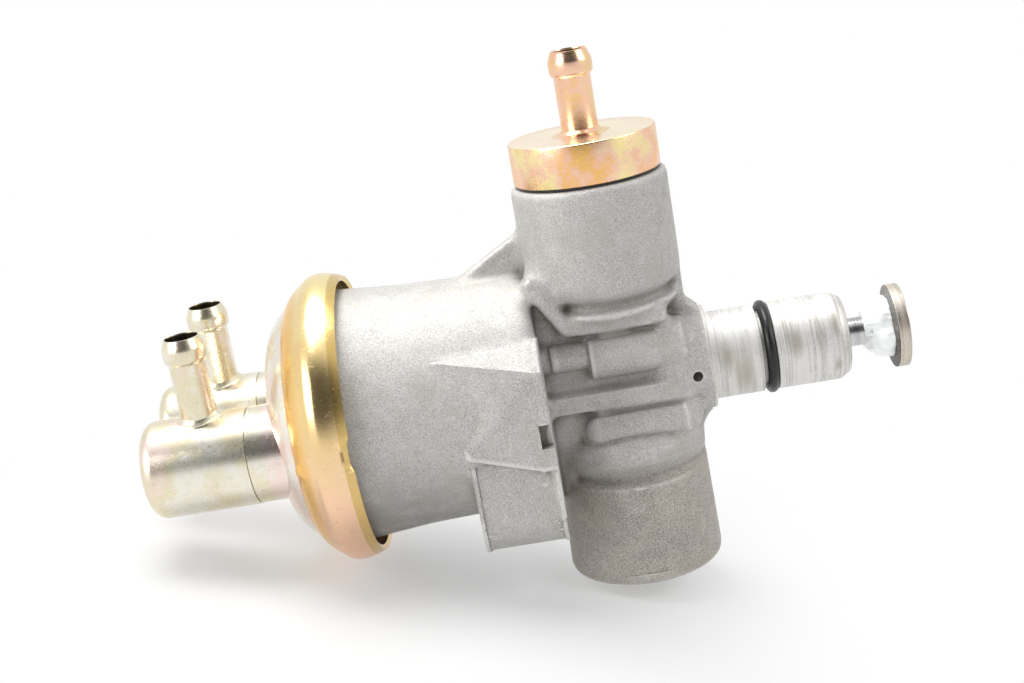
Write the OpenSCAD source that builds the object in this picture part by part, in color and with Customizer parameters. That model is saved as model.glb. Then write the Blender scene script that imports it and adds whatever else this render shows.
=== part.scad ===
// Two-stage fuel pump: a diaphragm stage and a piston stage on one push rod.
// Millimetres. The origin is the centre of the seating shoulder: +X runs out along the nose,
// +Z goes up through the top cap, and the near side of the casting faces -Y.

/* [Nose] */
// Radius of the turned nose that plugs into the engine
nose_r = 13.1; // [12.6:0.1:14.5]
// Length of the nose, from the seating shoulder to its end
nose_len = 40.6; // [38:0.5:48]
// Length of the lead-in chamfer at the end of the nose
nose_chamfer_len = 3; // [1:0.5:4]
// Radial depth of that chamfer
nose_chamfer_depth = 1.8; // [0.5:0.1:2.4]
// Radius of the collar whose face is the seating shoulder
collar_r = 15.5; // [15:0.1:17]
// Length of the collar
collar_len = 5.4; // [4:0.2:8]
// Distance from the shoulder to the seal groove
groove_start = 14.7; // [10:0.5:16]
// Width of the seal groove
groove_w = 4.2; // [3.8:0.1:5]
// Section of the nose seal ring
ring_section = 3.2; // [2.8:0.1:3.6]
// Height by which the ring stands out of the nose
ring_proud = 0.9; // [0.5:0.1:1.2]
// Radius of the spring bore inside the nose
nose_bore_r = 8.6; // [8.4:0.1:9]
// Distance from the shoulder to the floor of the spring bore
nose_bore_floor = 8.5; // [7:0.5:10]

/* [Push rod] */
// Radius of the push rod
rod_r = 4.25; // [3.8:0.05:4.6]
// Working stroke of the rod
stroke = 6; // [3:0.5:7]
// Radius of the follower disc that the engine's eccentric pushes
disc_r = 12.4; // [11:0.1:13]
// Thickness of the follower disc
disc_t = 3.5; // [2.5:0.1:4.5]
// Gap between the end of the nose and the disc at rest
disc_gap = 13.9; // [12:0.5:18]
// Thickness of the spring collar on the rod
spring_collar_t = 2.5; // [2:0.1:4]
// Length of the guide bush in the mouth of the nose
bush_len = 5.4; // [4:0.2:7]
// Thickness of the snap ring that keeps the bush in
snap_t = 1.2; // [1:0.1:1.5]
// Wire diameter of the return spring
return_wire_d = 1.6; // [1.2:0.1:1.8]
// Turns of the return spring
return_turns = 6; // [5:1:8]

/* [Piston stage] */
// Radius of the pumping bore
piston_bore_r = 8; // [7.6:0.1:8.6]
// Length of the piston
piston_len = 17; // [16:0.5:18]
// Distance from the shoulder back to the piston's rod side
piston_back = 1; // [0.5:0.1:1.5]
// Distance from the shoulder back to the end of the pumping bore
pump_bore_back = 40; // [38:0.5:42]
// Radius of the pull rod
pull_r = 3; // [2.6:0.1:3.2]
// Radius of the passages between the bore and the valve chambers
passage_r = 3; // [2:0.1:3.2]

/* [Casting] */
// Distance from the shoulder back to the axis of the upright chambers
axis_back = 27.4; // [26.4:0.2:28.4]
// Half of the core's thickness, front to back
core_half = 12.5; // [12:0.25:14]
// Radius of the core below and above the pumping bore
core_r = 13.5; // [13:0.25:15]
// Height of the near face of the passage bulges, in front of the axis
bulge_front = 17; // [16.8:0.1:18]
// Radius of the upper passage bulge
upper_bulge_r = 7.5; // [6.5:0.25:8]
// Height of the upper bulge's axis
upper_bulge_z = 9; // [8:0.25:10]
// Radius of the lower passage bulge
lower_bulge_r = 6; // [5:0.25:6.5]
// Height of the lower bulge's axis
lower_bulge_z = -12.7; // [-13.5:0.1:-12]
// Radius of the weep hole
weep_r = 1.55; // [1:0.05:2]
// Distance from the shoulder back to the weep hole
weep_back = 5.2; // [4.5:0.1:6]

/* [Top chamber] */
// Radius of the top chamber outside
top_r = 22.9; // [22:0.1:24]
// Height of the top chamber's rim above the nose axis
top_z = 60; // [56:0.5:66]
// Height of the bottom of the rounded bowl
bowl_z = 26.5; // [26:0.25:28]
// Radius of the rounding under the bowl
bowl_round = 5; // [3:0.5:6]
// Radius of the chamber's bore that takes the cap
cap_bore_r = 18; // [17:0.1:19]
// Radius of the cap
cap_r = 21.5; // [20.5:0.1:22.5]
// Height of the cap above its seal
cap_t = 12; // [9:0.5:15]
// Depth of the cap's spigot in the bore
cap_spigot = 10; // [6:0.5:13]
// Thickness of the flat seal under the cap
cap_seal_t = 0.6; // [0.4:0.1:1]
// Height of the shoulder that carries the inlet valve
top_valve_z = 26; // [25:0.25:27]

/* [Bottom chamber] */
// Radius of the bottom chamber at its lower edge
bottom_r = 23.4; // [23:0.1:24.5]
// Radius of the bottom chamber at its upper edge
bottom_top_r = 22.5; // [22:0.1:23]
// Depth of the bottom face below the nose axis
bottom_z = 60.5; // [56:0.5:66]
// Depth of the chamber's upper edge below the nose axis
bottom_top_z = 20; // [19:0.5:23]
// Radius of the threaded outlet port
port_r = 9; // [8.6:0.1:10]
// Depth of the thread in the outlet port
port_len = 16; // [12:0.5:18]
// Depth of the shoulder that carries the outlet valve
bottom_valve_z = 26; // [25:0.5:28]

/* [Drum] */
// Distance from the shoulder back to the drum's closed end
drum_end_back = 50; // [49:0.2:51]
// Distance from the shoulder back to the clamping face
clamp_back = 113.6; // [110:1:118]
// Radius of the drum at its closed end
drum_r = 35.2; // [34.5:0.1:36]
// Radius of the drum beside the clamping flange
drum_open_r = 37.7; // [37:0.1:38.2]
// Wall of the drum
drum_wall = 4; // [3:0.25:5]
// Distance from the shoulder back to the floor inside the drum
drum_floor_back = 62; // [60:0.5:64]
// Radius of the guide boss on that floor
boss_r = 9.5; // [8.5:0.25:11]
// Height of the guide boss
boss_len = 10; // [8:0.5:12]
// Thickness of the clamping flange
flange_t = 4.8; // [4:0.2:5.6]

/* [Cover] */
// Largest radius of the crimped cover
cover_r = 43.6; // [43:0.1:45]
// Sheet thickness of the cover
cover_t = 1.6; // [1.2:0.1:2]
// Distance from the clamping face to the cover's flat face
cover_depth = 17.4; // [16.4:0.2:20]
// Distance from the clamping face forward to the crimped edge
crimp_len = 8.8; // [8:0.2:10]
// Radius of the drawn necks that carry the valve cans
neck_r = 13.6; // [12.8:0.1:14]
// Distance of the valve cans from the middle, to each side
can_y = 18; // [17:0.25:19]
// Distance of the valve cans' axes below the nose axis
can_drop = 1.9; // [1:0.1:2.4]

/* [Valve cans] */
// Outer radius of a valve can
can_r = 14.4; // [13.8:0.1:15]
// Length of a valve can
can_len = 32.2; // [30:0.2:38]
// Distance from the cover's flat face to the can's open edge
can_gap = 5.3; // [4.6:0.1:6]
// How much further out the rear can sits
rear_can_out = 2; // [1:0.1:2.4]
// Rounding at the closed end of a can
can_round = 4; // [3:0.5:5]
// Distance from the can's open edge to its hose nipple
can_nipple_back = 13.6; // [12:0.2:15]

/* [Hose nipples] */
// Outer radius of the nipple's tube
nipple_r = 5.35; // [5:0.05:5.7]
// Inner radius of the nipple's tube
nipple_bore_r = 4.3; // [3.6:0.05:4.5]
// Radius of the bead that holds the hose
bead_r = 6.35; // [6.1:0.05:6.8]
// Length of the straight land around the bead
bead_land = 2; // [1.5:0.1:2.5]
// Height of a can nipple's mouth above the nose axis
can_nipple_z = 36.7; // [33:0.5:42]
// Height of the top nipple's mouth above the nose axis
top_nipple_z = 96.6; // [90:0.5:104]

/* [Valves] */
// Thickness of a valve seat plate
seat_t = 2.5; // [2:0.1:3]
// Radius of the seat plates in the cans and the top chamber
seat_r = 12; // [11.4:0.1:12.2]
// Radius of the seat plate in the bottom chamber
small_seat_r = 8.2; // [7.8:0.1:8.4]
// Thickness of a valve disc
valve_disc_t = 1.2; // [0.8:0.1:1.6]
// Lift of a valve disc
valve_lift = 1.2; // [0.8:0.1:1.6]
// Radius of the stem that guides a valve disc
stem_r = 1.2; // [1:0.05:1.4]
// Height of a stem above its seat
stem_h = 6; // [5:0.25:6.5]

/* [Diaphragm] */
// Thickness of the diaphragm
diaphragm_t = 1.5; // [1:0.1:2]
// Radius of the plates on both sides of the diaphragm
plate_r = 25; // [22:0.5:26]
// Thickness of each plate
plate_t = 1.6; // [1.2:0.1:2]
// Height of the diaphragm's rolled fold
fold_h = 3; // [2:0.25:3.5]
// Wire diameter of the diaphragm spring
drum_wire_d = 2.6; // [2:0.1:3]
// Mean radius of the diaphragm spring
drum_spring_r = 19; // [16:0.5:21]
// Turns of the diaphragm spring
drum_turns = 6; // [5:1:8]

/* [Fits] */
// Running clearance of a sliding rod or piston, on the radius
running = 0.05; // [0.03:0.01:0.08]
// Gap between pieces that are seated on each other
seat_gap = 0.03; // [0.02:0.01:0.05]

/* [Hidden] */
$fn = 72;
eps = 0.5;

// Stations along X
axis_x = -axis_back;
drum_end_x = -drum_end_back;
clamp_x = -clamp_back;
flange_back_x = clamp_x + flange_t;
cover_face_x = clamp_x - cover_depth;
front_open_x = cover_face_x - can_gap;
rear_open_x = front_open_x - rear_can_out;
can_nipple_x = front_open_x - can_nipple_back;
piston_x1 = -piston_back;
piston_x0 = piston_x1 - piston_len;
bush_x1 = nose_len - snap_t - 2.4;
bush_x0 = bush_x1 - bush_len;
spring_collar_x1 = bush_x0 - running;
spring_collar_x0 = spring_collar_x1 - spring_collar_t;
disc_x0 = nose_len + disc_gap;

// Radii that follow from their neighbours
piston_r = piston_bore_r - running;
rod_hole_r = rod_r + 0.35;
seal_r = 7;
seal_t = 4.4;
pull_seal_r = 6;
pull_seal_t = 5;
can_t = can_r - neck_r - seat_gap;
neck_bore_r = seat_r + seat_gap;
flange_r = cover_r - cover_t - seat_gap;
stub_r = rod_r - 1.1;
stub_len = 6;
pocket_r = pull_r + 1.2;
pull_head_t = 2;
retainer_t = 1.1;
retainer_r = pocket_r + 0.7;
spring_seat_t = 1.2;
ring_groove_depth = 0.7;
bead_bottom_drop = 7.3;

// The cover's roll is centred so that its inside presses on the diaphragm's edge
roll_r = 4;
roll_x = clamp_x - diaphragm_t - 2 * seat_gap + (roll_r - cover_t) * sin(60) + 0.1;
diaphragm_r = flange_r - 1.7;

// Points on an arc from angle a0 to a1
function arc(c, r, a0, a1, n) = [for (i = [0:n]) let (a = a0 + (a1 - a0) * i / n) c + r * [cos(a), sin(a)]];

// Unit normal to the left of a step along a path
function left_of(p, q) = let (d = q - p) [-d.y, d.x] / norm(d);

// The path moved to its left by t, with mitred corners
function beside(path, t) = [for (i = [0:len(path) - 1])
    let (a = left_of(path[max(i - 1, 0)], path[max(i, 1)]),
         b = left_of(path[min(i, len(path) - 2)], path[min(i + 1, len(path) - 1)]),
         m = a + b)
    path[i] + t * 2 * m / (m * m)];

// A list from its last item to its first
function turned(list) = [for (i = [len(list) - 1:-1:0]) list[i]];

// Lays a shape that stands on Z along X
module along_x(x = 0, y = 0, z = 0) {
    translate([x, y, z]) rotate([0, 90, 0]) children();
}

// A solid of revolution around X, from [radius, x] points
module turned_x(points) {
    rotate([0, 90, 0]) rotate_extrude() polygon(points);
}

// A round bar along X
module bar_x(x0, x1, r, y = 0, z = 0) {
    along_x(x0, y, z) cylinder(h = x1 - x0, r = r);
}

// A ring or tube along X
module tube_x(x0, x1, r_out, r_in) {
    difference() {
        bar_x(x0, x1, r_out);
        bar_x(x0 - eps, x1 + eps, r_in);
    }
}

// Round wire wound into a spring that stands on Z
module coil(mean_r, wire_d, height, turns, steps = 22, sides = 6) {
    n = turns * steps;
    rise = height - wire_d;
    points = [for (i = [0:n], k = [0:sides - 1])
        let (a = 360 * i / steps, b = 360 * k / sides, r = mean_r + wire_d / 2 * cos(b))
        [r * cos(a), r * sin(a), wire_d / 2 + rise * i / n + wire_d / 2 * sin(b)]];
    walls = [for (i = [0:n - 1], k = [0:sides - 1])
        [i * sides + k, (i + 1) * sides + k,
         (i + 1) * sides + (k + 1) % sides, i * sides + (k + 1) % sides]];
    near_end = [[for (k = [0:sides - 1]) k]];
    far_end = [[for (k = [sides - 1:-1:0]) n * sides + k]];
    polyhedron(points = points, faces = concat(walls, near_end, far_end), convexity = 10);
}

// A lobe between two circles of one radius, with straight tangents
module stadium(p, q, r) {
    side = r * left_of(p, q);
    translate(p) circle(r);
    translate(q) circle(r);
    polygon([p + side, q + side, q - side, p - side]);
}

// Nose, collar and the fairing into the block
module nose_solid() {
    seat_floor = nose_r + ring_proud - ring_section;
    turned_x([
        [0, -22], [13, -22], [14.4, -collar_len - 10.6], [16.4, -collar_len - 3.6],
        [16.6, -collar_len - 2], [collar_r, -collar_len], [collar_r, 0],
        [nose_r, 0], [nose_r, groove_start], [seat_floor, groove_start],
        [seat_floor, groove_start + groove_w], [nose_r, groove_start + groove_w],
        [nose_r, nose_len - nose_chamfer_len], [nose_r - nose_chamfer_depth, nose_len],
        [0, nose_len]]);
}

// Drum with its clamping flange
module drum_solid() {
    round_r = 4;
    turned_x(concat(
        [[0, clamp_x], [flange_r - 0.6, clamp_x], [flange_r, clamp_x + 0.6],
         [flange_r, clamp_x + 1.6], [flange_r - 1.4, flange_back_x], [drum_open_r, flange_back_x],
         [drum_open_r - 1.4, clamp_x + 24], [drum_open_r - 1.9, clamp_x + 38]],
        turned(arc([drum_r - round_r, drum_end_x - round_r], round_r, 90, 0, 6)) ,
        [[0, drum_end_x]]));
}

// Hollow of the drum, around the guide boss
module drum_hollow() {
    boss_x = -drum_floor_back - boss_len;
    inner_r = drum_r - drum_wall;
    turned_x([
        [0, clamp_x - eps], [drum_open_r - drum_wall + 1.4, clamp_x - eps],
        [drum_open_r - drum_wall + 1.4, clamp_x + 1], [drum_open_r - drum_wall - 0.6, clamp_x + 8],
        [inner_r, -drum_floor_back - 3], [inner_r - 3, -drum_floor_back],
        [boss_r, -drum_floor_back], [boss_r, boss_x], [0, boss_x]]);
}

// Upright chambers and the necks that join them to the block
module chambers_solid() {
    translate([axis_x, 0, 0]) rotate_extrude() polygon(concat(
        [[0, 10], [core_r, 10], [core_r + 1, 16], [19.4, 20.4], [21.2, 22], [21.6, 22.8], [21, 23.6],
         [18.6, 24.2], [17.6, bowl_z - 0.5]],
        arc([top_r - bowl_round, bowl_z + bowl_round], bowl_round, -75, 0, 8),
        [[top_r, top_z - 0.8], [top_r - 0.8, top_z], [0, top_z]]));
    translate([axis_x, 0, 0]) rotate_extrude() polygon(concat(
        [[0, -8], [core_r, -8], [core_r, -14], [20.6, -17.6], [21.2, -18.6], [20.6, -19.6]],
        turned(arc([bottom_top_r - 2.5, -bottom_top_z - 2.5], 2.5, 0, 60, 5)),
        [[bottom_r, -bottom_z + 1], [bottom_r - 1, -bottom_z], [0, -bottom_z]]));
    translate([axis_x, 0, -24]) cylinder(h = 48, r = core_r);
    translate([drum_end_x - 2, -core_half, -23])
        cube([drum_end_back + 2 - collar_len - 6, 2 * core_half, 45]);
}

// Passage bulges and the flat parting strip on the near side of the block
module bulges_solid() {
    upper_y = upper_bulge_r - bulge_front;
    lower_y = lower_bulge_r - bulge_front;
    bulge_x1 = -collar_len - 1.5;
    bar_x(axis_x - 8, bulge_x1, upper_bulge_r, upper_y, upper_bulge_z);
    bar_x(drum_end_x + 1, axis_x - 7, 4.7, upper_y - 1.2, upper_bulge_z + 1.5);
    translate([drum_end_x - 1, -bulge_front, -6.2])
        cube([drum_end_back - collar_len - 1, bulge_front, 5.5]);
    bar_x(axis_x - 7.3, bulge_x1, lower_bulge_r, lower_y, lower_bulge_z);
    translate([axis_x - 7.3, lower_y, lower_bulge_z]) sphere(lower_bulge_r);
    ledge_y = bulge_front + 0.3;
    translate([axis_x - 14.6, -ledge_y, 17]) cube([30.6, 2 * ledge_y, 3.8]);
    // Rounded saddle from the drum's end down to the ledge
    saddle_foot = [axis_x - 13.6, -bulge_front + 0.8, 20.4];
    saddle_r = 2.6;
    for (side = [1, -1]) {
        translate([saddle_foot.x, side * saddle_foot.y, saddle_foot.z]) {
            sphere(saddle_r);
            rotate([0, -31, 0]) cylinder(h = 19, r = saddle_r);
        }
    }
    // Flat land that the weep hole is drilled through
    translate([-weep_back - 2.3, -collar_r - 0.3, -3.4]) cube([4.6, 6, 5.8]);
}

// Webs from the block up and down to the chambers, and one under the bowl on the nose's side
module webs_solid() {
    web_t = 6;
    web_y = core_half;
    upper = [[0, 12], [0, 36.5], [1.6, 38], [11, 22.5], [11, 12]];
    lower = [[0, -12], [0, -34], [2.2, -31.6], [5.2, -25.8], [9, -21.7], [13, -20], [13, -12]];
    for (y = [web_t - web_y, web_y], outline = [upper, lower]) {
        translate([drum_end_x - 0.5, y, 0]) rotate([90, 0, 0]) linear_extrude(web_t) polygon(outline);
    }
    nose_top = [[8, 12], [8, 42], [top_r - 0.4, 42], [top_r - 0.4, 19.6], [top_r + 3, 16.6], [top_r + 3, 12]];
    nose_foot = [[8, -12], [8, -26], [bottom_top_r, -26], [bottom_top_r + 0.6, -19.4], [top_r + 3.4, -15.8],
        [top_r + 3.4, -12]];
    for (outline = [nose_top, nose_foot]) {
        translate([axis_x, 4, 0]) rotate([90, 0, 0]) linear_extrude(8) polygon(outline);
    }
}

// Flat pad with a bevelled top on the near side of the drum
module drum_pad() {
    x1 = drum_end_x + 0.8;
    x0 = drum_end_x - 29.9;
    corner_x = drum_end_x - 24.1;
    front = -drum_r - 1.8;
    back = -drum_r + 15.2;
    polyhedron(
        points = [[x0, front + 6.9, 20.3], [x1, front + 8.9, 21.4], [x1 - 1.6, front, 14.6],
            [corner_x, front + 0.9, -7.9], [x1 - 3.8, front, -14.4], [x0, back, 18], [x1, back, 20],
            [x1, back, -14.4], [corner_x, back, -7.9], [x1, front, -14.4], [x1, front, 14.6]],
        faces = [[0, 1, 10, 2], [0, 2, 4, 3], [2, 10, 9, 4], [0, 5, 6, 1], [5, 8, 7, 6], [0, 3, 8, 5],
            [3, 4, 9, 7, 8], [1, 6, 7, 9, 10]]);
}

// Lug under the pad, with the trimmed edges at its ends
module drum_lug() {
    lug_x0 = drum_end_x - 23.4;
    lug_x1 = drum_end_x + 0.6;
    // In this outline the first coordinate is height and the second depth
    upper = [15, -23];
    lower = [28, -24.5];
    along_x(lug_x0) linear_extrude(lug_x1 - lug_x0) stadium(upper, lower, 11.6);
    for (x = [lug_x0, lug_x1 - 1.2]) {
        along_x(x) linear_extrude(1.2) stadium(upper, lower, 12.1);
    }
}

// Stiffening gusset between the drum and the top chamber
module gusset() {
    rise = 11.8;
    run = 20.3;
    outline = [[-run, -2.2], [-run, 0.4], [0, rise], [4.6, rise], [4.6, -2.2]];
    recess = [[4.9 - run, 2], [-0.8, rise - 1.8], [-0.8, 2]];
    translate([drum_end_x - 0.6, 0, drum_r]) difference() {
        translate([0, 3, 0]) rotate([90, 0, 0]) linear_extrude(6) polygon(outline);
        translate([0, -2.5, 0]) rotate([90, 0, 0]) linear_extrude(2) polygon(recess);
        translate([0, 4.5, 0]) rotate([90, 0, 0]) linear_extrude(2) polygon(recess);
    }
}

// Everything bored and cut out of the casting
module casting_cuts() {
    drum_hollow();
    bar_x(-pump_bore_back, 1, piston_bore_r);
    bar_x(0, nose_bore_floor + eps, rod_hole_r);
    bar_x(nose_bore_floor - seal_t - 0.1, nose_bore_floor + eps, seal_r);
    bar_x(nose_bore_floor, nose_len + eps, nose_bore_r);
    bar_x(bush_x1, bush_x1 + snap_t + 0.1, nose_bore_r + ring_groove_depth);
    bar_x(-drum_floor_back - boss_len - eps, -pump_bore_back + eps, pull_r + 0.2);
    bar_x(-drum_floor_back - boss_len - eps, -drum_floor_back - boss_len + pull_seal_t + 0.1, pull_seal_r);
    translate([axis_x, 0, 0]) {
        translate([0, 0, top_z - cap_spigot - 1]) cylinder(h = cap_spigot + 2, r = cap_bore_r);
        translate([0, 0, top_valve_z + 6]) cylinder(h = top_z - top_valve_z - 8, r = cap_bore_r - 2);
        translate([0, 0, top_valve_z]) cylinder(h = 8, r = seat_r + seat_gap);
        translate([0, 0, top_valve_z - 9]) cylinder(h = 10, r = seat_r - 1.6);
        cylinder(h = top_valve_z - 8, r = passage_r);
        translate([0, 0, -bottom_valve_z - 1]) cylinder(h = bottom_valve_z, r = passage_r);
        translate([0, 0, -bottom_z - eps]) cylinder(h = port_len + eps, r = port_r);
        translate([0, 0, -bottom_z]) cylinder(h = bottom_z - bottom_valve_z, r = small_seat_r + seat_gap);
        translate([0, 0, -bottom_z - eps]) cylinder(h = 1.5 + eps, r1 = port_r + 1.5 + eps, r2 = port_r);
    }
    translate([-weep_back, -30, -1]) rotate([-90, 0, 0]) cylinder(h = 26, r = weep_r);
    // Recessed flat on the near side of the bottom chamber
    translate([axis_x - 7, -30, -57]) cube([15.5, 7.8, 27]);
    // Notch at the corner of the drum's pad
    translate([drum_end_x - 2.7, -42, -8.1]) cube([8, 8.2, 7.3]);
}

module pump_body() {
    color([0.66, 0.65, 0.63]) difference() {
        union() {
            nose_solid();
            drum_solid();
            chambers_solid();
            bulges_solid();
            webs_solid();
            drum_pad();
            drum_lug();
            gusset();
        }
        casting_cuts();
    }
}

// Outer line of the crimped cover, from its middle to its rolled edge
cover_line = concat(
    [[0, cover_face_x], [14.4, cover_face_x + 0.3], [20, cover_face_x + 0.8], [24.7, cover_face_x + 1.6],
     [27.9, cover_face_x + 2.6], [30.4, cover_face_x + 3.9], [32.4, cover_face_x + 5.5],
     [cover_r - 9.8, cover_face_x + 7], [cover_r - 8.6, roll_x - 9.2], [cover_r - 7, roll_x - 8.5],
     [cover_r - 5.2, roll_x - 7.2]],
    turned(arc([cover_r - roll_r, roll_x], roll_r, -5, -60, 5)),
    [[cover_r, clamp_x + 2.4], [cover_r - 0.1, clamp_x + 3.6], [cover_r - 0.7, clamp_x + 5.8],
     [cover_r - 1.8, clamp_x + crimp_len]]);

// Inner line of the cover, one sheet thickness inside the outer line
cover_inner = [for (p = beside(cover_line, cover_t)) [max(p.x, 0), p.y]];

module diaphragm_cover() {
    color([0.86, 0.72, 0.42]) difference() {
        union() {
            turned_x(concat(cover_line, turned(cover_inner)));
            bar_x(front_open_x - 3.6, cover_face_x + 7, neck_r, -can_y, -can_drop);
            bar_x(rear_open_x - 3.6, cover_face_x + 7, neck_r, can_y, -can_drop);
        }
        turned_x(concat([[0, clamp_x]], turned([for (p = cover_inner) if (p.y < clamp_x) p])));
        for (neck = [[-can_y, front_open_x], [can_y, rear_open_x]]) {
            bar_x(neck.y - 4, neck.y + 0.9, neck_bore_r, neck.x, -can_drop);
            bar_x(neck.y - 4, cover_face_x + 14, neck_bore_r - 1, neck.x, -can_drop);
        }
    }
}

// A drawn can with a domed end, at y and with its open edge at open_x
module valve_can(y, open_x) {
    inner_r = can_r - can_t;
    end_x = open_x - can_len;
    color([0.84, 0.82, 0.66]) difference() {
        translate([0, y, -can_drop]) turned_x(concat(
            [[inner_r, open_x], [can_r, open_x]],
            turned(arc([can_r - can_round, end_x + can_round + 0.8], can_round, 270, 360, 7)),
            [[6, end_x + 0.2], [0, end_x], [0, end_x + can_t], [6, end_x + 0.2 + can_t]],
            arc([can_r - can_round, end_x + can_round + 0.8], can_round - can_t, 270, 360, 7)));
        translate([can_nipple_x, y, 0]) cylinder(h = can_r + 2, r = nipple_r + seat_gap);
    }
}

// A hose nipple with its mouth at mouth_z and its tube down to foot_z
module hose_nipple(foot_z, mouth_z) {
    bead_z = mouth_z - bead_bottom_drop;
    rotate_extrude() polygon([
        [nipple_bore_r, foot_z], [nipple_r, foot_z], [nipple_r, bead_z], [nipple_r + 0.4, bead_z + 0.3],
        [bead_r, bead_z + 2], [bead_r, bead_z + 2 + bead_land], [bead_r - 0.5, bead_z + 5.4],
        [nipple_r - 0.1, mouth_z - 0.3], [nipple_r - 0.4, mouth_z], [nipple_bore_r + 0.3, mouth_z],
        [nipple_bore_r, mouth_z - 0.4]]);
}

// A can's nipple with the brazed fillet around its foot
module can_nipple(y) {
    color([0.85, 0.8, 0.62]) translate([can_nipple_x, y, -can_drop]) {
        hose_nipple(can_r - 3.2, can_nipple_z + can_drop);
        difference() {
            translate([0, 0, can_r - 3.5]) cylinder(h = 4.9, r1 = nipple_r + 3.2, r2 = nipple_r);
            along_x(-20) cylinder(h = 40, r = can_r + seat_gap);
            cylinder(h = can_r + 4, r = nipple_bore_r + 0.3);
        }
    }
}

module top_cap() {
    base_z = top_z + cap_seal_t + 2 * seat_gap;
    color([0.88, 0.74, 0.5]) difference() {
        translate([axis_x, 0, 0]) rotate_extrude() polygon([
            [nipple_r + seat_gap, base_z - cap_spigot], [cap_bore_r - 1, base_z - cap_spigot],
            [cap_bore_r - seat_gap, base_z - cap_spigot + 1], [cap_bore_r - seat_gap, base_z],
            [cap_r, base_z], [cap_r, base_z + cap_t - 0.5], [cap_r - 0.5, base_z + cap_t],
            [nipple_r + seat_gap, base_z + cap_t]]);
        translate([axis_x, 0, base_z - cap_spigot - eps]) cylinder(h = 5 + eps, r = cap_bore_r - 4);
    }
}

module cap_seal() {
    color([0.07, 0.07, 0.07]) translate([axis_x, 0, top_z + seat_gap]) difference() {
        cylinder(h = cap_seal_t, r = cap_r - 0.4);
        translate([0, 0, -eps]) cylinder(h = cap_seal_t + 2 * eps, r = cap_bore_r + 0.2);
    }
}

module top_hose_nipple() {
    cap_top = top_z + cap_seal_t + 2 * seat_gap + cap_t;
    color([0.87, 0.72, 0.5]) translate([axis_x, 0, 0]) {
        hose_nipple(cap_top - 8, top_nipple_z);
        // Swaged collar that rests on the cap
        translate([0, 0, cap_top + seat_gap]) rotate_extrude() polygon([
            [nipple_r - 0.2, 0], [nipple_r + 1.1, 0], [nipple_r + 1.1, 0.9], [nipple_r - 0.2, 1.9]]);
    }
}

// Seat plate of a check valve, with its ring of flow holes. Fuel flows along +Z.
module valve_seat(r) {
    hole_r = r * 0.14;
    translate([0, 0, -seat_t]) difference() {
        cylinder(h = seat_t, r = r);
        translate([0, 0, -eps]) cylinder(h = seat_t + 2 * eps, r = stem_r + seat_gap);
        for (a = [0:60:300]) {
            rotate(a) translate([r * 0.42, 0, -eps]) cylinder(h = seat_t + 2 * eps, r = hole_r, $fn = 24);
        }
    }
}

// Riveted stem that guides the valve disc and keeps its spring
module valve_stem() {
    translate([0, 0, -seat_t - 0.8 - seat_gap]) cylinder(h = 0.8, r = stem_r + 0.9, $fn = 32);
    translate([0, 0, -seat_t - 0.4]) cylinder(h = seat_t + stem_h + 0.8, r = stem_r, $fn = 32);
    translate([0, 0, stem_h]) cylinder(h = 0.8, r = stem_r + 1.6, $fn = 32);
}

module valve_disc(r) {
    translate([0, 0, seat_gap]) difference() {
        cylinder(h = valve_disc_t, r = r * 0.66);
        translate([0, 0, -eps]) cylinder(h = valve_disc_t + 2 * eps, r = stem_r + 0.1, $fn = 32);
    }
}

module valve_spring() {
    start = 2 * seat_gap + valve_disc_t;
    translate([0, 0, start]) coil(stem_r + 0.9, 0.5, stem_h - start - seat_gap, 4, 14, 6);
}

// The front can passes fuel out of the diaphragm chamber, and the rear can lets it in
module front_valve() {
    translate([front_open_x + 0.8, -can_y, -can_drop]) rotate([0, -90, 0]) translate([0, 0, seat_t])
        children();
}

module rear_valve() {
    translate([rear_open_x + 0.8, can_y, -can_drop]) rotate([0, 90, 0]) children();
}

module top_valve() {
    translate([axis_x, 0, top_valve_z + seat_gap]) rotate([180, 0, 0]) children();
}

module bottom_valve() {
    translate([axis_x, 0, -bottom_valve_z - seat_gap - seat_t]) rotate([180, 0, 0]) children();
}

module front_valve_seat() {
    color([0.76, 0.66, 0.4]) front_valve() valve_seat(seat_r);
}

module front_valve_stem() {
    color([0.6, 0.6, 0.6]) front_valve() valve_stem();
}

module front_valve_disc() {
    color([0.16, 0.14, 0.12]) front_valve() valve_disc(seat_r);
}

module front_valve_spring() {
    color([0.62, 0.62, 0.62]) front_valve() valve_spring();
}

module rear_valve_seat() {
    color([0.76, 0.66, 0.4]) rear_valve() valve_seat(seat_r);
}

module rear_valve_stem() {
    color([0.6, 0.6, 0.6]) rear_valve() valve_stem();
}

module rear_valve_disc() {
    color([0.16, 0.14, 0.12]) rear_valve() valve_disc(seat_r);
}

module rear_valve_spring() {
    color([0.62, 0.62, 0.62]) rear_valve() valve_spring();
}

module top_valve_seat() {
    color([0.76, 0.66, 0.4]) top_valve() valve_seat(seat_r);
}

module top_valve_stem() {
    color([0.6, 0.6, 0.6]) top_valve() valve_stem();
}

module top_valve_disc() {
    color([0.16, 0.14, 0.12]) top_valve() valve_disc(seat_r);
}

module top_valve_spring() {
    color([0.62, 0.62, 0.62]) top_valve() valve_spring();
}

module bottom_valve_seat() {
    color([0.76, 0.66, 0.4]) bottom_valve() valve_seat(small_seat_r);
}

module bottom_valve_stem() {
    color([0.6, 0.6, 0.6]) bottom_valve() valve_stem();
}

module bottom_valve_disc() {
    color([0.16, 0.14, 0.12]) bottom_valve() valve_disc(small_seat_r);
}

module bottom_valve_spring() {
    color([0.62, 0.62, 0.62]) bottom_valve() valve_spring();
}

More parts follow.
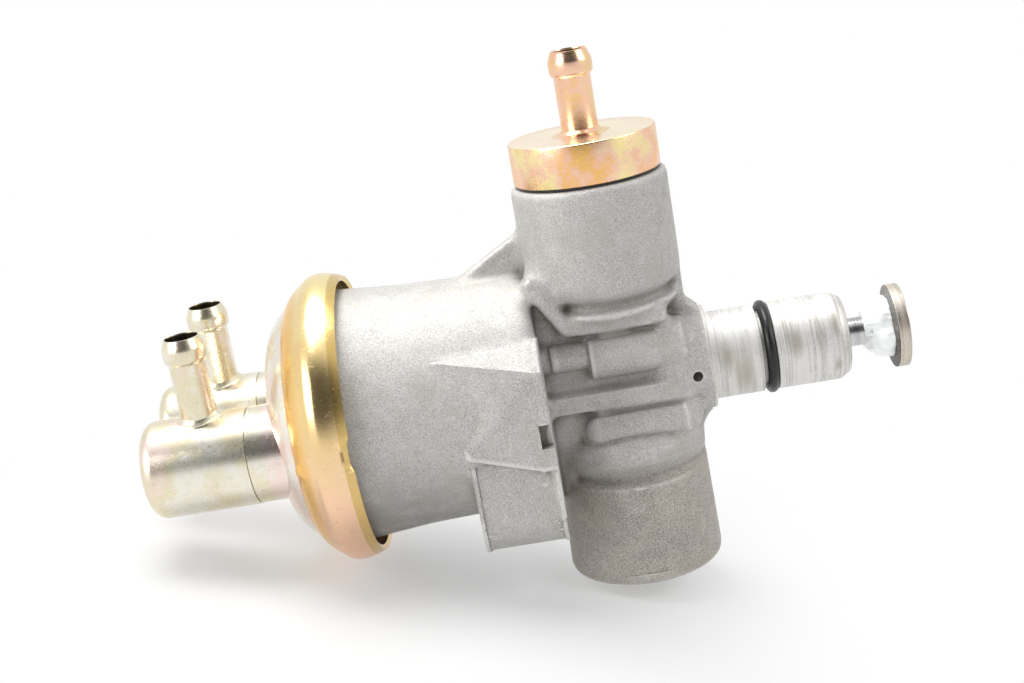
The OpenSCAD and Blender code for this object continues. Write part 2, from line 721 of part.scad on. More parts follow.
module diaphragm() {
    x1 = clamp_x - seat_gap;
    x0 = x1 - diaphragm_t;
    fold_r = (plate_r + drum_open_r - drum_wall + 1.4) / 2;
    half = 3.4;
    line = concat([[pull_r + seat_gap, x0], [fold_r - half - 1, x0]],
        [for (i = [1:7]) [fold_r - half * cos(180 * i / 8), x0 + fold_h * sin(180 * i / 8)]],
        [[fold_r + half + 1, x0], [diaphragm_r, x0]]);
    color([0.13, 0.12, 0.12]) turned_x(concat(line, turned([for (p = line) p + [0, diaphragm_t]])));
}

// Pressed plate with a rolled edge, on the side of the diaphragm that sign gives
module diaphragm_plate(x, sign) {
    turned_x([
        [pull_r + seat_gap, x], [plate_r - 2, x], [plate_r, x + sign * 1.2],
        [plate_r - 1.2, x + sign * (plate_t + 1)], [plate_r - 3, x + sign * plate_t],
        [pull_r + seat_gap, x + sign * plate_t]]);
}

module inner_plate() {
    color([0.72, 0.7, 0.62]) diaphragm_plate(clamp_x, 1);
}

module outer_plate() {
    color([0.72, 0.7, 0.62]) diaphragm_plate(clamp_x - diaphragm_t - 2 * seat_gap, -1);
}

module pull_rod_nut() {
    x1 = clamp_x - diaphragm_t - plate_t - 3 * seat_gap;
    color([0.62, 0.6, 0.55]) difference() {
        along_x(x1 - 4.5) cylinder(h = 4.5, r = 5.8, $fn = 6);
        bar_x(x1 - 5, x1 + eps, pull_r + seat_gap);
    }
}

module pull_rod() {
    head_x0 = piston_x0 + retainer_t + 0.6 + seat_gap;
    flange_x = clamp_x + plate_t + seat_gap;
    color([0.7, 0.7, 0.7]) {
        bar_x(clamp_x - diaphragm_t - plate_t - 6, head_x0 + pull_head_t, pull_r);
        bar_x(head_x0, head_x0 + pull_head_t, pocket_r - 0.2);
        bar_x(flange_x, flange_x + 2, pull_r + 3);
    }
}

module pull_rod_seal() {
    x0 = -drum_floor_back - boss_len;
    color([0.1, 0.1, 0.1]) tube_x(x0, x0 + pull_seal_t, pull_seal_r - seat_gap, pull_r + running);
}

module diaphragm_spring() {
    x0 = clamp_x + plate_t + seat_gap;
    x1 = -drum_floor_back - seat_gap;
    color([0.6, 0.6, 0.6]) along_x(x0) coil(drum_spring_r, drum_wire_d, x1 - x0, drum_turns, 24, 6);
}

module piston() {
    groove_x = piston_x0 + 5;
    color([0.72, 0.71, 0.68]) difference() {
        bar_x(piston_x0, piston_x1, piston_r);
        bar_x(piston_x0 - eps, piston_x0 + 10, pocket_r);
        bar_x(piston_x0 + 0.6 - seat_gap, piston_x0 + 0.6 + retainer_t + seat_gap, retainer_r + seat_gap);
        bar_x(piston_x1 - stub_len - 0.2, piston_x1 + eps, stub_r + seat_gap);
        tube_x(groove_x, groove_x + 2.2, piston_r + 1, piston_r - 1.8);
    }
}

module piston_ring() {
    section_r = 0.88;
    color([0.08, 0.08, 0.08]) along_x(piston_x0 + 6.1) rotate_extrude()
        translate([piston_r - 0.02 - section_r, 0]) circle(section_r, $fn = 24);
}

module piston_retainer() {
    x0 = piston_x0 + 0.6;
    color([0.6, 0.6, 0.6]) difference() {
        tube_x(x0, x0 + retainer_t, retainer_r, pull_r + 0.3);
        translate([x0 - eps, 0, -1]) cube([retainer_t + 1, 10, 2]);
    }
}

module push_rod() {
    color([0.74, 0.74, 0.74]) {
        bar_x(piston_x1 + seat_gap, disc_x0 - seat_gap, rod_r);
        bar_x(piston_x1 - stub_len, piston_x1 + 1, stub_r);
        bar_x(disc_x0 - 1, disc_x0 + 2, stub_r);
    }
}

module follower_disc() {
    color([0.66, 0.65, 0.63]) difference() {
        turned_x([
            [0, disc_x0], [disc_r - 0.4, disc_x0], [disc_r, disc_x0 + 0.4], [disc_r, disc_x0 + disc_t - 0.6],
            [disc_r - 0.6, disc_x0 + disc_t], [0, disc_x0 + disc_t]]);
        bar_x(disc_x0 - eps, disc_x0 + 2 + seat_gap, stub_r + seat_gap);
    }
}

module push_rod_seal() {
    x1 = nose_bore_floor - seat_gap;
    color([0.1, 0.1, 0.1]) difference() {
        tube_x(x1 - seal_t, x1, seal_r - seat_gap, rod_r + running);
        tube_x(x1 - 2.6, x1 + eps, seal_r - 1.4, rod_r + 0.9);
    }
}

module spring_seat() {
    x0 = nose_bore_floor + seat_gap;
    color([0.62, 0.62, 0.6]) tube_x(x0, x0 + spring_seat_t, nose_bore_r - 0.1, rod_r + 0.3);
}

module return_spring() {
    x0 = nose_bore_floor + spring_seat_t + 2 * seat_gap;
    x1 = spring_collar_x0 - seat_gap;
    mean_r = (rod_r + nose_bore_r) / 2 + 0.35;
    color([0.58, 0.58, 0.58]) along_x(x0) coil(mean_r, return_wire_d, x1 - x0, return_turns);
}

module spring_collar() {
    color([0.66, 0.66, 0.64])
        tube_x(spring_collar_x0, spring_collar_x1, nose_bore_r - 0.4, rod_r + seat_gap);
}

module guide_bush() {
    color([0.66, 0.53, 0.34])
        tube_x(bush_x0 + seat_gap, bush_x1 - seat_gap, nose_bore_r - seat_gap, rod_r + running);
}

module snap_ring() {
    x0 = bush_x1 + seat_gap;
    color([0.3, 0.3, 0.3]) difference() {
        tube_x(x0, x0 + snap_t, nose_bore_r + ring_groove_depth - 0.1, nose_bore_r - 1.6);
        translate([x0 - eps, -2, 0]) cube([snap_t + 1, 4, nose_bore_r + 2]);
    }
}

module nose_o_ring() {
    section_r = ring_section / 2;
    color([0.05, 0.05, 0.05]) along_x(groove_start + groove_w / 2) rotate_extrude()
        translate([nose_r + ring_proud + seat_gap - section_r, 0]) circle(section_r, $fn = 36);
}

// Soft dab of grease on the rod, against the disc
module assembly_grease() {
    x1 = disc_x0 - seat_gap;
    color([0.93, 0.93, 0.95]) difference() {
        union() {
            turned_x([
                [0, x1], [8.4, x1], [8.8, x1 - 1.2], [7.6, x1 - 3], [6.4, x1 - 5.4],
                [5.9, x1 - 7.4], [5, x1 - 8.2], [0, x1 - 8.4]]);
            translate([x1 - 3.4, -3.2, 4.6]) sphere(3.2);
            translate([x1 - 3.8, -4.6, -3.4]) sphere(3);
        }
        bar_x(x1 - 12, x1 + eps, rod_r + seat_gap);
    }
}

pump_body();
diaphragm_cover();
valve_can(-can_y, front_open_x);  // front_valve_can
can_nipple(-can_y);  // front_hose_nipple
valve_can(can_y, rear_open_x);  // rear_valve_can
can_nipple(can_y);  // rear_hose_nipple
top_cap();
top_hose_nipple();
cap_seal();
front_valve_seat();
front_valve_stem();
front_valve_disc();
front_valve_spring();
rear_valve_seat();
rear_valve_stem();
rear_valve_disc();
rear_valve_spring();
top_valve_seat();
top_valve_stem();
top_valve_disc();
top_valve_spring();
bottom_valve_seat();
bottom_valve_stem();
bottom_valve_disc();
bottom_valve_spring();
diaphragm();
inner_plate();
outer_plate();
pull_rod_nut();
pull_rod();
pull_rod_seal();
diaphragm_spring();
piston();
piston_ring();
piston_retainer();
push_rod();
push_rod_seal();
spring_seat();
return_spring();
spring_collar();
guide_bush();
snap_ring();
nose_o_ring();
follower_disc();
assembly_grease();
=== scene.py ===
"""A fuel pump lying on a white table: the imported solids, dressed, with detailed outer pieces."""

import logging
import math
from dataclasses import dataclass
from enum import Enum
from typing import Any, Iterable, Optional, Sequence, Union

import bmesh
import bpy
from mathutils import Matrix, Vector, noise
from mathutils.bvhtree import BVHTree


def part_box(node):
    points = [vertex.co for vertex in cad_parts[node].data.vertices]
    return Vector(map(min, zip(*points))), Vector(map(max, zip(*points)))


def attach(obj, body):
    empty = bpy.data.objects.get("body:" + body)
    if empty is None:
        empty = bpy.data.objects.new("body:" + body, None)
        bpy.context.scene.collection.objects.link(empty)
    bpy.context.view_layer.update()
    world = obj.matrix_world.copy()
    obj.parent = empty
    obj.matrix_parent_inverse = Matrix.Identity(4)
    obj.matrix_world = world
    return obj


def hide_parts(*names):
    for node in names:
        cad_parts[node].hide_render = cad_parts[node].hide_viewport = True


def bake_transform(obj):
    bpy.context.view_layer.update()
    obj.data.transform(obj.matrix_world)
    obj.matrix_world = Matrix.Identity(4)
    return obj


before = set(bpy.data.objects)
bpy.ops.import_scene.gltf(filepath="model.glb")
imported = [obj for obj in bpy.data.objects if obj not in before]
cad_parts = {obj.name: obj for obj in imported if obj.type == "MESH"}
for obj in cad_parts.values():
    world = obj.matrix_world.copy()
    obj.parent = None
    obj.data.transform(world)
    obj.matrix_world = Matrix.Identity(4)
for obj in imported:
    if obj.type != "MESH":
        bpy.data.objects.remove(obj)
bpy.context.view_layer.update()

MM = 0.001
LOG = logging.getLogger("pump")
Colour = tuple[float, float, float]
Point = tuple[float, float]
Number = Union[float, "Socket"]


# ---------------------------------------------------------------- shader graph


class Socket:
    """An output socket that takes part in Python expressions."""

    def __init__(self, graph: "Graph", link: bpy.types.NodeSocket) -> None:
        """Keeps the graph and its socket.

        Args:
            graph: the graph that new Math nodes go into.
            link: the wrapped output.
        """
        self.graph = graph
        self.link = link

    def _math(self, operation: str, first: Number, second: Number = 0.0) -> "Socket":
        """Adds a Math node.

        Args:
            operation: the node's operation.
            first: the first operand.
            second: the second operand.

        Returns:
            The node's value.
        """
        return self.graph.add("ShaderNodeMath", {"operation": operation}, {0: first, 1: second})

    def __add__(self, other: Number) -> "Socket":
        """Self plus other."""
        return self._math("ADD", self, other)

    def __radd__(self, other: Number) -> "Socket":
        """Other plus self."""
        return self._math("ADD", other, self)

    def __sub__(self, other: Number) -> "Socket":
        """Self minus other."""
        return self._math("SUBTRACT", self, other)

    def __rsub__(self, other: Number) -> "Socket":
        """Other minus self."""
        return self._math("SUBTRACT", other, self)

    def __mul__(self, other: Number) -> "Socket":
        """Self times other."""
        return self._math("MULTIPLY", self, other)

    def __rmul__(self, other: Number) -> "Socket":
        """Other times self."""
        return self._math("MULTIPLY", other, self)

    def __truediv__(self, other: Number) -> "Socket":
        """Self divided by other."""
        return self._math("DIVIDE", self, other)

    def __pow__(self, other: Number) -> "Socket":
        """Self to the power of other."""
        return self._math("POWER", self, other)

    def root(self) -> "Socket":
        """The square root."""
        return self._math("SQRT", self)

    def size(self) -> "Socket":
        """The value without its sign."""
        return self._math("ABSOLUTE", self)

    def larger(self, other: Number) -> "Socket":
        """The larger of the two values."""
        return self._math("MAXIMUM", self, other)

    def step(self, low: float, high: float) -> "Socket":
        """A smooth step.

        Args:
            low: the value where the step is 0.
            high: the value where the step is 1.

        Returns:
            0 to 1.
        """
        return self.graph.add(
            "ShaderNodeMapRange",
            {"interpolation_type": "SMOOTHSTEP", "clamp": True},
            {"Value": self, "From Min": low, "From Max": high, "To Min": 0.0, "To Max": 1.0},
        )


class Graph:
    """The node tree of one material or of the world."""

    def __init__(self, tree: bpy.types.NodeTree) -> None:
        """Empties the tree.

        Args:
            tree: the tree to fill.
        """
        self.tree = tree
        tree.nodes.clear()

    def node(self, kind: str, settings: dict[str, Any], values: dict[Any, Any]) -> bpy.types.Node:
        """Adds a node.

        Args:
            kind: the node's type.
            settings: its properties, and "stops" for a ramp.
            values: a value or a link for each input, by name or number.

        Returns:
            The node.
        """
        made = self.tree.nodes.new(kind)
        for name, value in settings.items():
            if name == "stops":
                ramp = made.color_ramp
                while len(ramp.elements) > 1:
                    ramp.elements.remove(ramp.elements[-1])
                for i, (place, colour) in enumerate(value):
                    stop = ramp.elements[0] if i == 0 else ramp.elements.new(place)
                    stop.position = place
                    stop.color = (*colour, 1.0)
            else:
                setattr(made, name, value)
        for name, value in values.items():
            socket = made.inputs[name]
            if isinstance(value, Socket):
                self.tree.links.new(value.link, socket)
            elif isinstance(value, tuple) and len(value) == 3 and len(socket.default_value) == 4:
                socket.default_value = (*value, 1.0)
            else:
                socket.default_value = value
        return made

    def add(
        self, kind: str, settings: dict[str, Any], values: dict[Any, Any], output: Any = 0
    ) -> Socket:
        """Adds a node and gives one of its outputs.

        Args:
            kind: the node's type.
            settings: its properties.
            values: its inputs.
            output: the name or number of the output.

        Returns:
            The output.
        """
        return Socket(self, self.node(kind, settings, values).outputs[output])

    def place(self) -> Socket:
        """The object coordinates."""
        return self.add("ShaderNodeTexCoord", {}, {}, "Object")

    def axes(self, vector: Socket) -> tuple[Socket, Socket, Socket]:
        """The three parts of a vector."""
        split = self.node("ShaderNodeSeparateXYZ", {}, {0: vector})
        return tuple(Socket(self, split.outputs[i]) for i in range(3))

    def stretch(self, vector: Socket, scale: tuple[float, float, float]) -> Socket:
        """A vector scaled along each axis."""
        return self.add("ShaderNodeMapping", {}, {"Vector": vector, "Scale": scale})

    def noise(self, vector: Socket, scale: float, detail: float = 2.0, rough: float = 0.5) -> Socket:
        """A noise value.

        Args:
            vector: the coordinates.
            scale: the number of features in a metre.
            detail: octaves.
            rough: the weight of the finer octaves.

        Returns:
            The noise, about 0.5.
        """
        return self.add(
            "ShaderNodeTexNoise",
            {},
            {"Vector": vector, "Scale": scale, "Detail": detail, "Roughness": rough},
        )

    def cells(self, vector: Socket, scale: float) -> Socket:
        """Distance to the nearest cell centre."""
        return self.add(
            "ShaderNodeTexVoronoi", {"feature": "F1"}, {"Vector": vector, "Scale": scale}
        )

    def mix(self, factor: Number, first: Any, second: Any) -> Socket:
        """A mix of two colours."""
        made = self.node("ShaderNodeMix", {"data_type": "RGBA"}, {})
        for name, value in (("Factor", factor), ("A", first), ("B", second)):
            socket = next(
                s for s in made.inputs if s.name == name and s.enabled and not s.is_unavailable
            )
            if isinstance(value, Socket):
                self.tree.links.new(value.link, socket)
            else:
                socket.default_value = (*value, 1.0) if isinstance(value, tuple) else value
        out = next(s for s in made.outputs if s.enabled and not s.is_unavailable)
        return Socket(self, out)

    def ramp(self, factor: Socket, stops: Sequence[tuple[float, Colour]]) -> Socket:
        """A colour for each value."""
        return self.add("ShaderNodeValToRGB", {"stops": stops}, {0: factor})

    def bump(self, height: Socket, distance: float, strength: float = 1.0) -> Socket:
        """A normal from a height.

        Args:
            height: the height, 0 to 1.
            distance: what 1 stands for, in metres.
            strength: the effect's strength.

        Returns:
            The normal.
        """
        return self.add(
            "ShaderNodeBump", {}, {"Height": height, "Distance": distance, "Strength": strength}
        )

    def surface(self, values: dict[str, Any]) -> None:
        """Ends the graph in a principled surface with these inputs."""
        shader = self.node("ShaderNodeBsdfPrincipled", {}, values)
        out = self.node("ShaderNodeOutputMaterial", {}, {})
        self.tree.links.new(shader.outputs[0], out.inputs["Surface"])


def new_graph(name: str) -> tuple[bpy.types.Material, Graph]:
    """A new material and its graph."""
    made = bpy.data.materials.new(name)
    made.use_nodes = True
    return made, Graph(made.node_tree)


# ---------------------------------------------------------------- finishes


@dataclass(frozen=True)
class CastFinish:
    """Shot-blasted aluminium casting: a fine grain, stains and painted shade in the hollows and creases, painted
    shade on the drum's lower part, crests paler from wear and a painted highlight, and the weep hole painted black.
    """

    name: str = "cast_aluminium"
    light: Colour = (0.57, 0.56, 0.535)
    dark: Colour = (0.31, 0.302, 0.288)
    bright: Colour = (0.77, 0.76, 0.735)
    # Colour of the stains and of the painted shade in the hollows and creases.
    stain_and_shade: Colour = (0.15, 0.132, 0.11)
    warm: Colour = (0.40, 0.355, 0.30)
    grain: float = 2900.0
    uses_hollows: bool = True

    def make(self) -> bpy.types.Material:
        """Builds the material."""
        made, g = new_graph(self.name)
        at = g.place()
        x, y, z = g.axes(at)
        coarse = g.noise(at, 55.0, 4.0, 0.6)
        patches = g.noise(at, 260.0, 3.0, 0.6)
        grain = g.noise(at, self.grain, 3.0, 0.75)
        pits = g.cells(at, self.grain * 0.75)
        tone = coarse * 0.14 + patches * 0.10 + grain * 0.76
        colour = g.ramp(tone, [(0.36, self.dark), (0.50, self.light), (0.64, self.bright)])
        speck = (1.0 - pits.step(0.05, 0.34)) * grain.step(0.42, 0.6)
        colour = g.mix(speck * 0.25, colour, self.warm)
        colour = g.mix(coarse.step(0.50, 0.68) * 0.35, colour, self.warm)
        brown = g.ramp(tone, [(0.36, (0.17, 0.145, 0.12)), (0.50, (0.43, 0.385, 0.335)), (0.64, (0.72, 0.68, 0.62))])
        chamber = (1.0 - z.step(-30 * MM, -20 * MM)) * x.step(-54 * MM, -50 * MM)
        colour = g.mix(chamber * (0.45 + coarse * 0.5), colour, brown)
        # Painted shade: the drum darker towards its bottom, in blotches.
        lower_shade = (1.0 - z.step(-32 * MM, 6 * MM)) * (1.0 - x.step(-96 * MM, -62 * MM))
        blotch = g.noise(at, 120.0, 4.0, 0.7).step(0.36, 0.62)
        colour = g.mix(lower_shade * (0.30 + blotch * 0.45), colour, self.dark)
        rough = 0.50 + grain * 0.16
        if self.uses_hollows:
            hollow = g.add("ShaderNodeAttribute", {"attribute_name": "hollow"}, {}, "Fac")
            # Stains and painted shade: darker where the skin is more enclosed.
            depth = (hollow + (patches - 0.5) * 0.4 + (grain - 0.5) * 0.25).step(0.22, 0.85)
            colour = g.mix(depth * 0.52, colour, self.stain_and_shade)
            bend = g.add("ShaderNodeNewGeometry", {}, {}, "Pointiness")
            # Painted shade in the concave creases.
            crease = 1.0 - (bend + (grain - 0.5) * 0.02).step(0.455, 0.495)
            colour = g.mix(crease * 0.65, colour, self.stain_and_shade)
            # Paler crests: partly edge wear, partly painted highlight.
            crest = bend.step(0.512, 0.55)
            colour = g.mix(crest * 0.6 * (1.0 - depth), colour, (0.86, 0.85, 0.83))
            # Painted shade: the weep hole's inside painted black.
            colour = g.mix(hollow.step(3.0, 4.0), colour, (0.002, 0.002, 0.002))
            rough = rough - crest * 0.12
        height = grain * 0.6 + (1.0 - pits) * 0.4
        normal = g.bump(height, 0.22 * MM, 0.8)
        g.surface(
            {
                "Base Color": colour,
                "Metallic": 0.45,
                "Roughness": rough,
                "Normal": normal,
            }
        )
        return made


@dataclass(frozen=True)
class TurnedFinish:
    """Aluminium or steel turned on a lathe around X, with rings, scratches and stains."""

    name: str
    base: Colour = (0.72, 0.72, 0.71)
    mark: Colour = (0.45, 0.44, 0.43)
    rough: float = 0.3
    metal: float = 1.0
    specks: float = 0.0
    speck: Colour = (0.75, 0.5, 0.18)
    brush: float = 0.55
    stains: tuple[tuple[float, float, float, float], ...] = ()
    stain_and_shade: Colour = (0.42, 0.37, 0.30)
    face_x: float = 0.0

    def make(self) -> bpy.types.Material:
        """Builds the material."""
        made, g = new_graph(self.name)
        at = g.place()
        x, y, z = g.axes(at)
        radius = (y * y + z * z).root()
        rings = g.noise(g.stretch(at, (1.0, 0.012, 0.012)), 2600.0, 2.0, 0.7)
        face = g.noise(g.add("ShaderNodeCombineXYZ", {}, {0: radius, 1: x * 0.2}), 2200.0, 2.0, 0.7)
        smear = g.noise(g.stretch(at, (1.0, 0.25, 0.25)), 240.0, 4.0, 0.65)
        grain = g.noise(at, 1800.0, 2.0, 0.6)
        lines = rings * 0.6 + face * 0.4
        tone = lines * self.brush + smear * 0.30 + grain * (0.70 - self.brush)
        colour = g.ramp(tone, [(0.40, self.mark), (0.53, self.base), (0.8, self.base)])
        for sx, sy, sz, size in self.stains:
            off_x, off_y, off_z = x - sx * MM, y - sy * MM, (z - sz * MM) * 0.45
            near = (off_x * off_x + off_y * off_y * 0.3 + off_z * off_z).root() + (smear - 0.5) * 3 * MM
            patch = (1.0 - near.step(0.0, size * MM)) * (grain * 0.8 + smear * 0.6)
            colour = g.mix(patch, colour, self.stain_and_shade)
        # Painted shade: the disc's inner face painted dark, darker towards the bottom.
        if self.face_x:
            face_shade = g.ramp(
                z / (24 * MM) + grain * 0.5 + 0.25,
                [(0.0, (0.045, 0.036, 0.03)), (0.5, (0.12, 0.105, 0.095)), (1.0, (0.30, 0.29, 0.28))])
            face = 1.0 - x.step(self.face_x * MM + 0.12 * MM, self.face_x * MM + 0.2 * MM)
            colour = g.mix(face, colour, face_shade)
        if self.specks:
            dots = (1.0 - g.cells(at, 900.0).step(0.1, 0.33)) * g.noise(at, 300.0).step(0.45, 0.6)
            colour = g.mix(dots * self.specks, colour, self.speck)
        g.surface(
            {
                "Base Color": colour,
                "Metallic": self.metal,
                "Roughness": self.rough + (smear - 0.5) * 0.25 + (lines - 0.5) * 0.2,
                "Normal": g.bump(lines + grain * 0.3, 0.10 * MM, 0.6),
            }
        )
        return made


class Plating(Enum):
    """Where zinc plate sits, with its own run of tones."""

    COVER = "cover_zinc"
    CAP = "cap_zinc"
    NIPPLE = "nipple_zinc"
    CAN = "can_zinc"


GOLD: Colour = (0.90, 0.58, 0.20)
PALE_GOLD: Colour = (0.88, 0.65, 0.31)
ORANGE: Colour = (0.90, 0.52, 0.18)
OLIVE: Colour = (0.66, 0.46, 0.15)
LEMON: Colour = (0.93, 0.79, 0.40)
PINK: Colour = (0.92, 0.58, 0.44)
ROSE: Colour = (0.84, 0.48, 0.33)
BLUSH: Colour = (0.90, 0.74, 0.68)
GREEN: Colour = (0.74, 0.77, 0.58)
STRAW: Colour = (0.80, 0.73, 0.52)
SILVER: Colour = (0.87, 0.84, 0.76)


@dataclass(frozen=True)
class ZincFinish:
    """Yellow-passivated zinc: bright metal whose thin film runs through gold, pink and green."""

    plating: Plating
    rough: float = 0.2

    def tones(self) -> list[tuple[float, Colour]]:
        """The run of tones of this plating."""
        return {
            Plating.COVER: [(0.36, LEMON), (0.46, PALE_GOLD), (0.56, PINK), (0.66, ROSE)],
            Plating.CAP: [(0.38, GOLD), (0.45, ORANGE), (0.51, PINK), (0.57, LEMON), (0.64, GOLD)],
            Plating.NIPPLE: [(0.38, GOLD), (0.47, PINK), (0.55, PALE_GOLD), (0.64, ROSE)],
            Plating.CAN: [(0.36, STRAW), (0.46, SILVER), (0.54, STRAW), (0.62, BLUSH), (0.7, GREEN)],
        }[self.plating]

    @staticmethod
    def cover_bands(g: Graph, x: Socket, z: Socket, film: Socket, blots: Socket) -> Socket:
        """The cover's tones: silver dome, orange beside the crease, a crest paler on top from a painted highlight and
        pink below, olive rim.

        Args:
            g: the graph.
            x: the place along the pump.
            z: the height.
            film: the slow run of the plating.
            blots: smaller patches.

        Returns:
            The colour.
        """
        place = x + (blots - 0.5) * 1.0 * MM + (film - 0.5) * 4 * MM
        # The crest runs from lemon on top to pink below: the plating's tones, with the top's paleness a painted
        # highlight.
        low = 1.0 - (z + (film - 0.5) * 60 * MM).step(-22 * MM, 24 * MM)
        crest = g.mix(low * 0.8, g.ramp(film, [(0.40, LEMON), (0.60, PALE_GOLD)]), PINK)
        crease = 1.0 - place.step(-119.5 * MM, -116.0 * MM)
        colour = g.mix(crease, crest, g.ramp(film, [(0.40, ORANGE), (0.62, GOLD)]))
        rim = x.step(-107.6 * MM, -107.2 * MM)
        colour = g.mix(rim * 0.8, colour, OLIVE)
        dome = 1.0 - x.step(-122.35 * MM, -122.1 * MM)
        pale = g.ramp(film, [(0.36, SILVER), (0.46, BLUSH), (0.54, SILVER), (0.64, PALE_GOLD)])
        neck = 1.0 - x.step(-131.4 * MM, -131.1 * MM)
        pale = g.mix(neck, pale, g.ramp(film, [(0.40, STRAW), (0.55, SILVER)]))
        return g.mix(dome, colour, pale)

    def make(self) -> bpy.types.Material:
        """Builds the material."""
        made, g = new_graph(self.plating.value)
        at = g.place()
        x, y, z = g.axes(at)
        bands = g.noise(g.stretch(at, (1.0, 0.6, 0.6)), 42.0, 2.0, 0.5)
        blots = g.noise(at, 190.0, 4.0, 0.6)
        fine = g.noise(at, 1300.0, 3.0, 0.6)
        film = bands * 0.62 + blots * 0.26 + fine * 0.12
        colour = g.ramp(film, self.tones())
        if self.plating is Plating.COVER:
            colour = self.cover_bands(g, x, z, film, blots)
        # Painted highlight: the cap's top face painted pale.
        if self.plating is Plating.CAP:
            top = z.step(72.45 * MM, 72.6 * MM)
            colour = g.mix(top * 0.75, colour, (0.95, 0.86, 0.68))
        wear = g.noise(g.stretch(at, (0.3, 1.0, 1.0)), 700.0, 3.0, 0.7).step(0.60, 0.72)
        colour = g.mix(wear * 0.35, colour, (0.55, 0.47, 0.33))
        # Painted shade: the inside of each nipple's bore painted dark.
        bore = g.add("ShaderNodeAttribute", {"attribute_name": "bore"}, {}, "Fac")
        colour = g.mix(bore, colour, (0.07, 0.06, 0.03))
        crystals = g.noise(at, 2600.0, 2.0, 0.6)
        g.surface(
            {
                "Base Color": colour,
                "Metallic": 1.0,
                "Roughness": self.rough + fine * 0.14 + wear * 0.15,
                "Normal": g.bump(blots * 0.4 + fine * 0.3 + crystals * 0.5, 0.07 * MM, 0.45),
            }
        )
        return made


@dataclass(frozen=True)
class SoftFinish:
    """Rubber, grease and other surfaces that aren't bare metal."""

    name: str
    base: Colour
    other: Colour
    rough: float
    grain: float = 900.0
    relief: float = 0.08 * MM
    metal: float = 0.0
    coat: float = 0.0
    # Painted light: an emission that makes the surface glow, though it is no lamp.
    painted_glow: float = 0.0

    def make(self) -> bpy.types.Material:
        """Builds the material."""
        made, g = new_graph(self.name)
        at = g.place()
        grain = g.noise(at, self.grain, 3.0, 0.6)
        patch = g.noise(at, self.grain / 6, 3.0, 0.6)
        g.surface(
            {
                "Base Color": g.mix((grain * 0.5 + patch * 0.5).step(0.38, 0.62), self.base, self.other),
                "Metallic": self.metal,
                "Roughness": self.rough + (grain - 0.5) * 0.2,
                "Coat Weight": self.coat,
                "Coat Roughness": 0.12,
                "Emission Color": self.base,
                "Emission Strength": self.painted_glow,
                "Normal": g.bump(grain, self.relief, 0.4),
            }
        )
        return made


class Palette:
    """Makes each finish once and hands it out by name."""

    def __init__(self) -> None:
        """Lists the finishes."""
        self.made: dict[str, bpy.types.Material] = {}
        self.known: dict[str, Any] = {
            "cast": CastFinish(),
            "turned_nose": TurnedFinish(
                "turned_aluminium", (0.80, 0.79, 0.765), (0.50, 0.475, 0.44), 0.56, 0.75,
                stains=((24.6, -12.4, 3.2, 3.4), (36.2, -11.0, 6.5, 2.4), (8.9, -12.6, -3.7, 5.0),
                        (4.5, -12.6, 2.4, 3.6), (36.2, -11.9, -5.5, 1.8)),
            ),
            "disc": TurnedFinish(
                "turned_steel", (0.66, 0.60, 0.53), (0.40, 0.35, 0.30), 0.42, specks=0.8, face_x=54.5
            ),
            "steel": TurnedFinish("bright_steel", (0.62, 0.62, 0.62), (0.40, 0.40, 0.40), 0.26),
            "spring": TurnedFinish("spring_steel", (0.42, 0.42, 0.43), (0.26, 0.26, 0.27), 0.3),
            "bronze": TurnedFinish("bush_bronze", (0.66, 0.47, 0.26), (0.42, 0.28, 0.15), 0.38),
            "brass": TurnedFinish("valve_brass", (0.78, 0.62, 0.32), (0.55, 0.42, 0.2), 0.34),
            "cover": ZincFinish(Plating.COVER, 0.17),
            "cap": ZincFinish(Plating.CAP, 0.2),
            "nipple": ZincFinish(Plating.NIPPLE, 0.17),
            "can": ZincFinish(Plating.CAN, 0.22),
            "rubber": SoftFinish("black_rubber", (0.004, 0.004, 0.004), (0.008, 0.008, 0.008), 0.36),
            "sheet_rubber": SoftFinish(
                "diaphragm_rubber", (0.035, 0.03, 0.026), (0.06, 0.05, 0.045), 0.6, 1400.0
            ),
            # The grease glows a little: painted light.
            "grease": SoftFinish(
                "grease", (0.96, 0.98, 0.975), (0.90, 0.94, 0.93), 0.45, 700.0, 0.20 * MM, painted_glow=0.22
            ),
        }

    def get(self, name: str) -> bpy.types.Material:
        """The material of a finish."""
        if name not in self.made:
            self.made[name] = self.known[name].make()
        return self.made[name]


# ---------------------------------------------------------------- mesh shop


class Axis(Enum):
    """The line that a turned piece spins around."""

    X = (1.0, 0.0, 0.0)
    Z = (0.0, 0.0, 1.0)


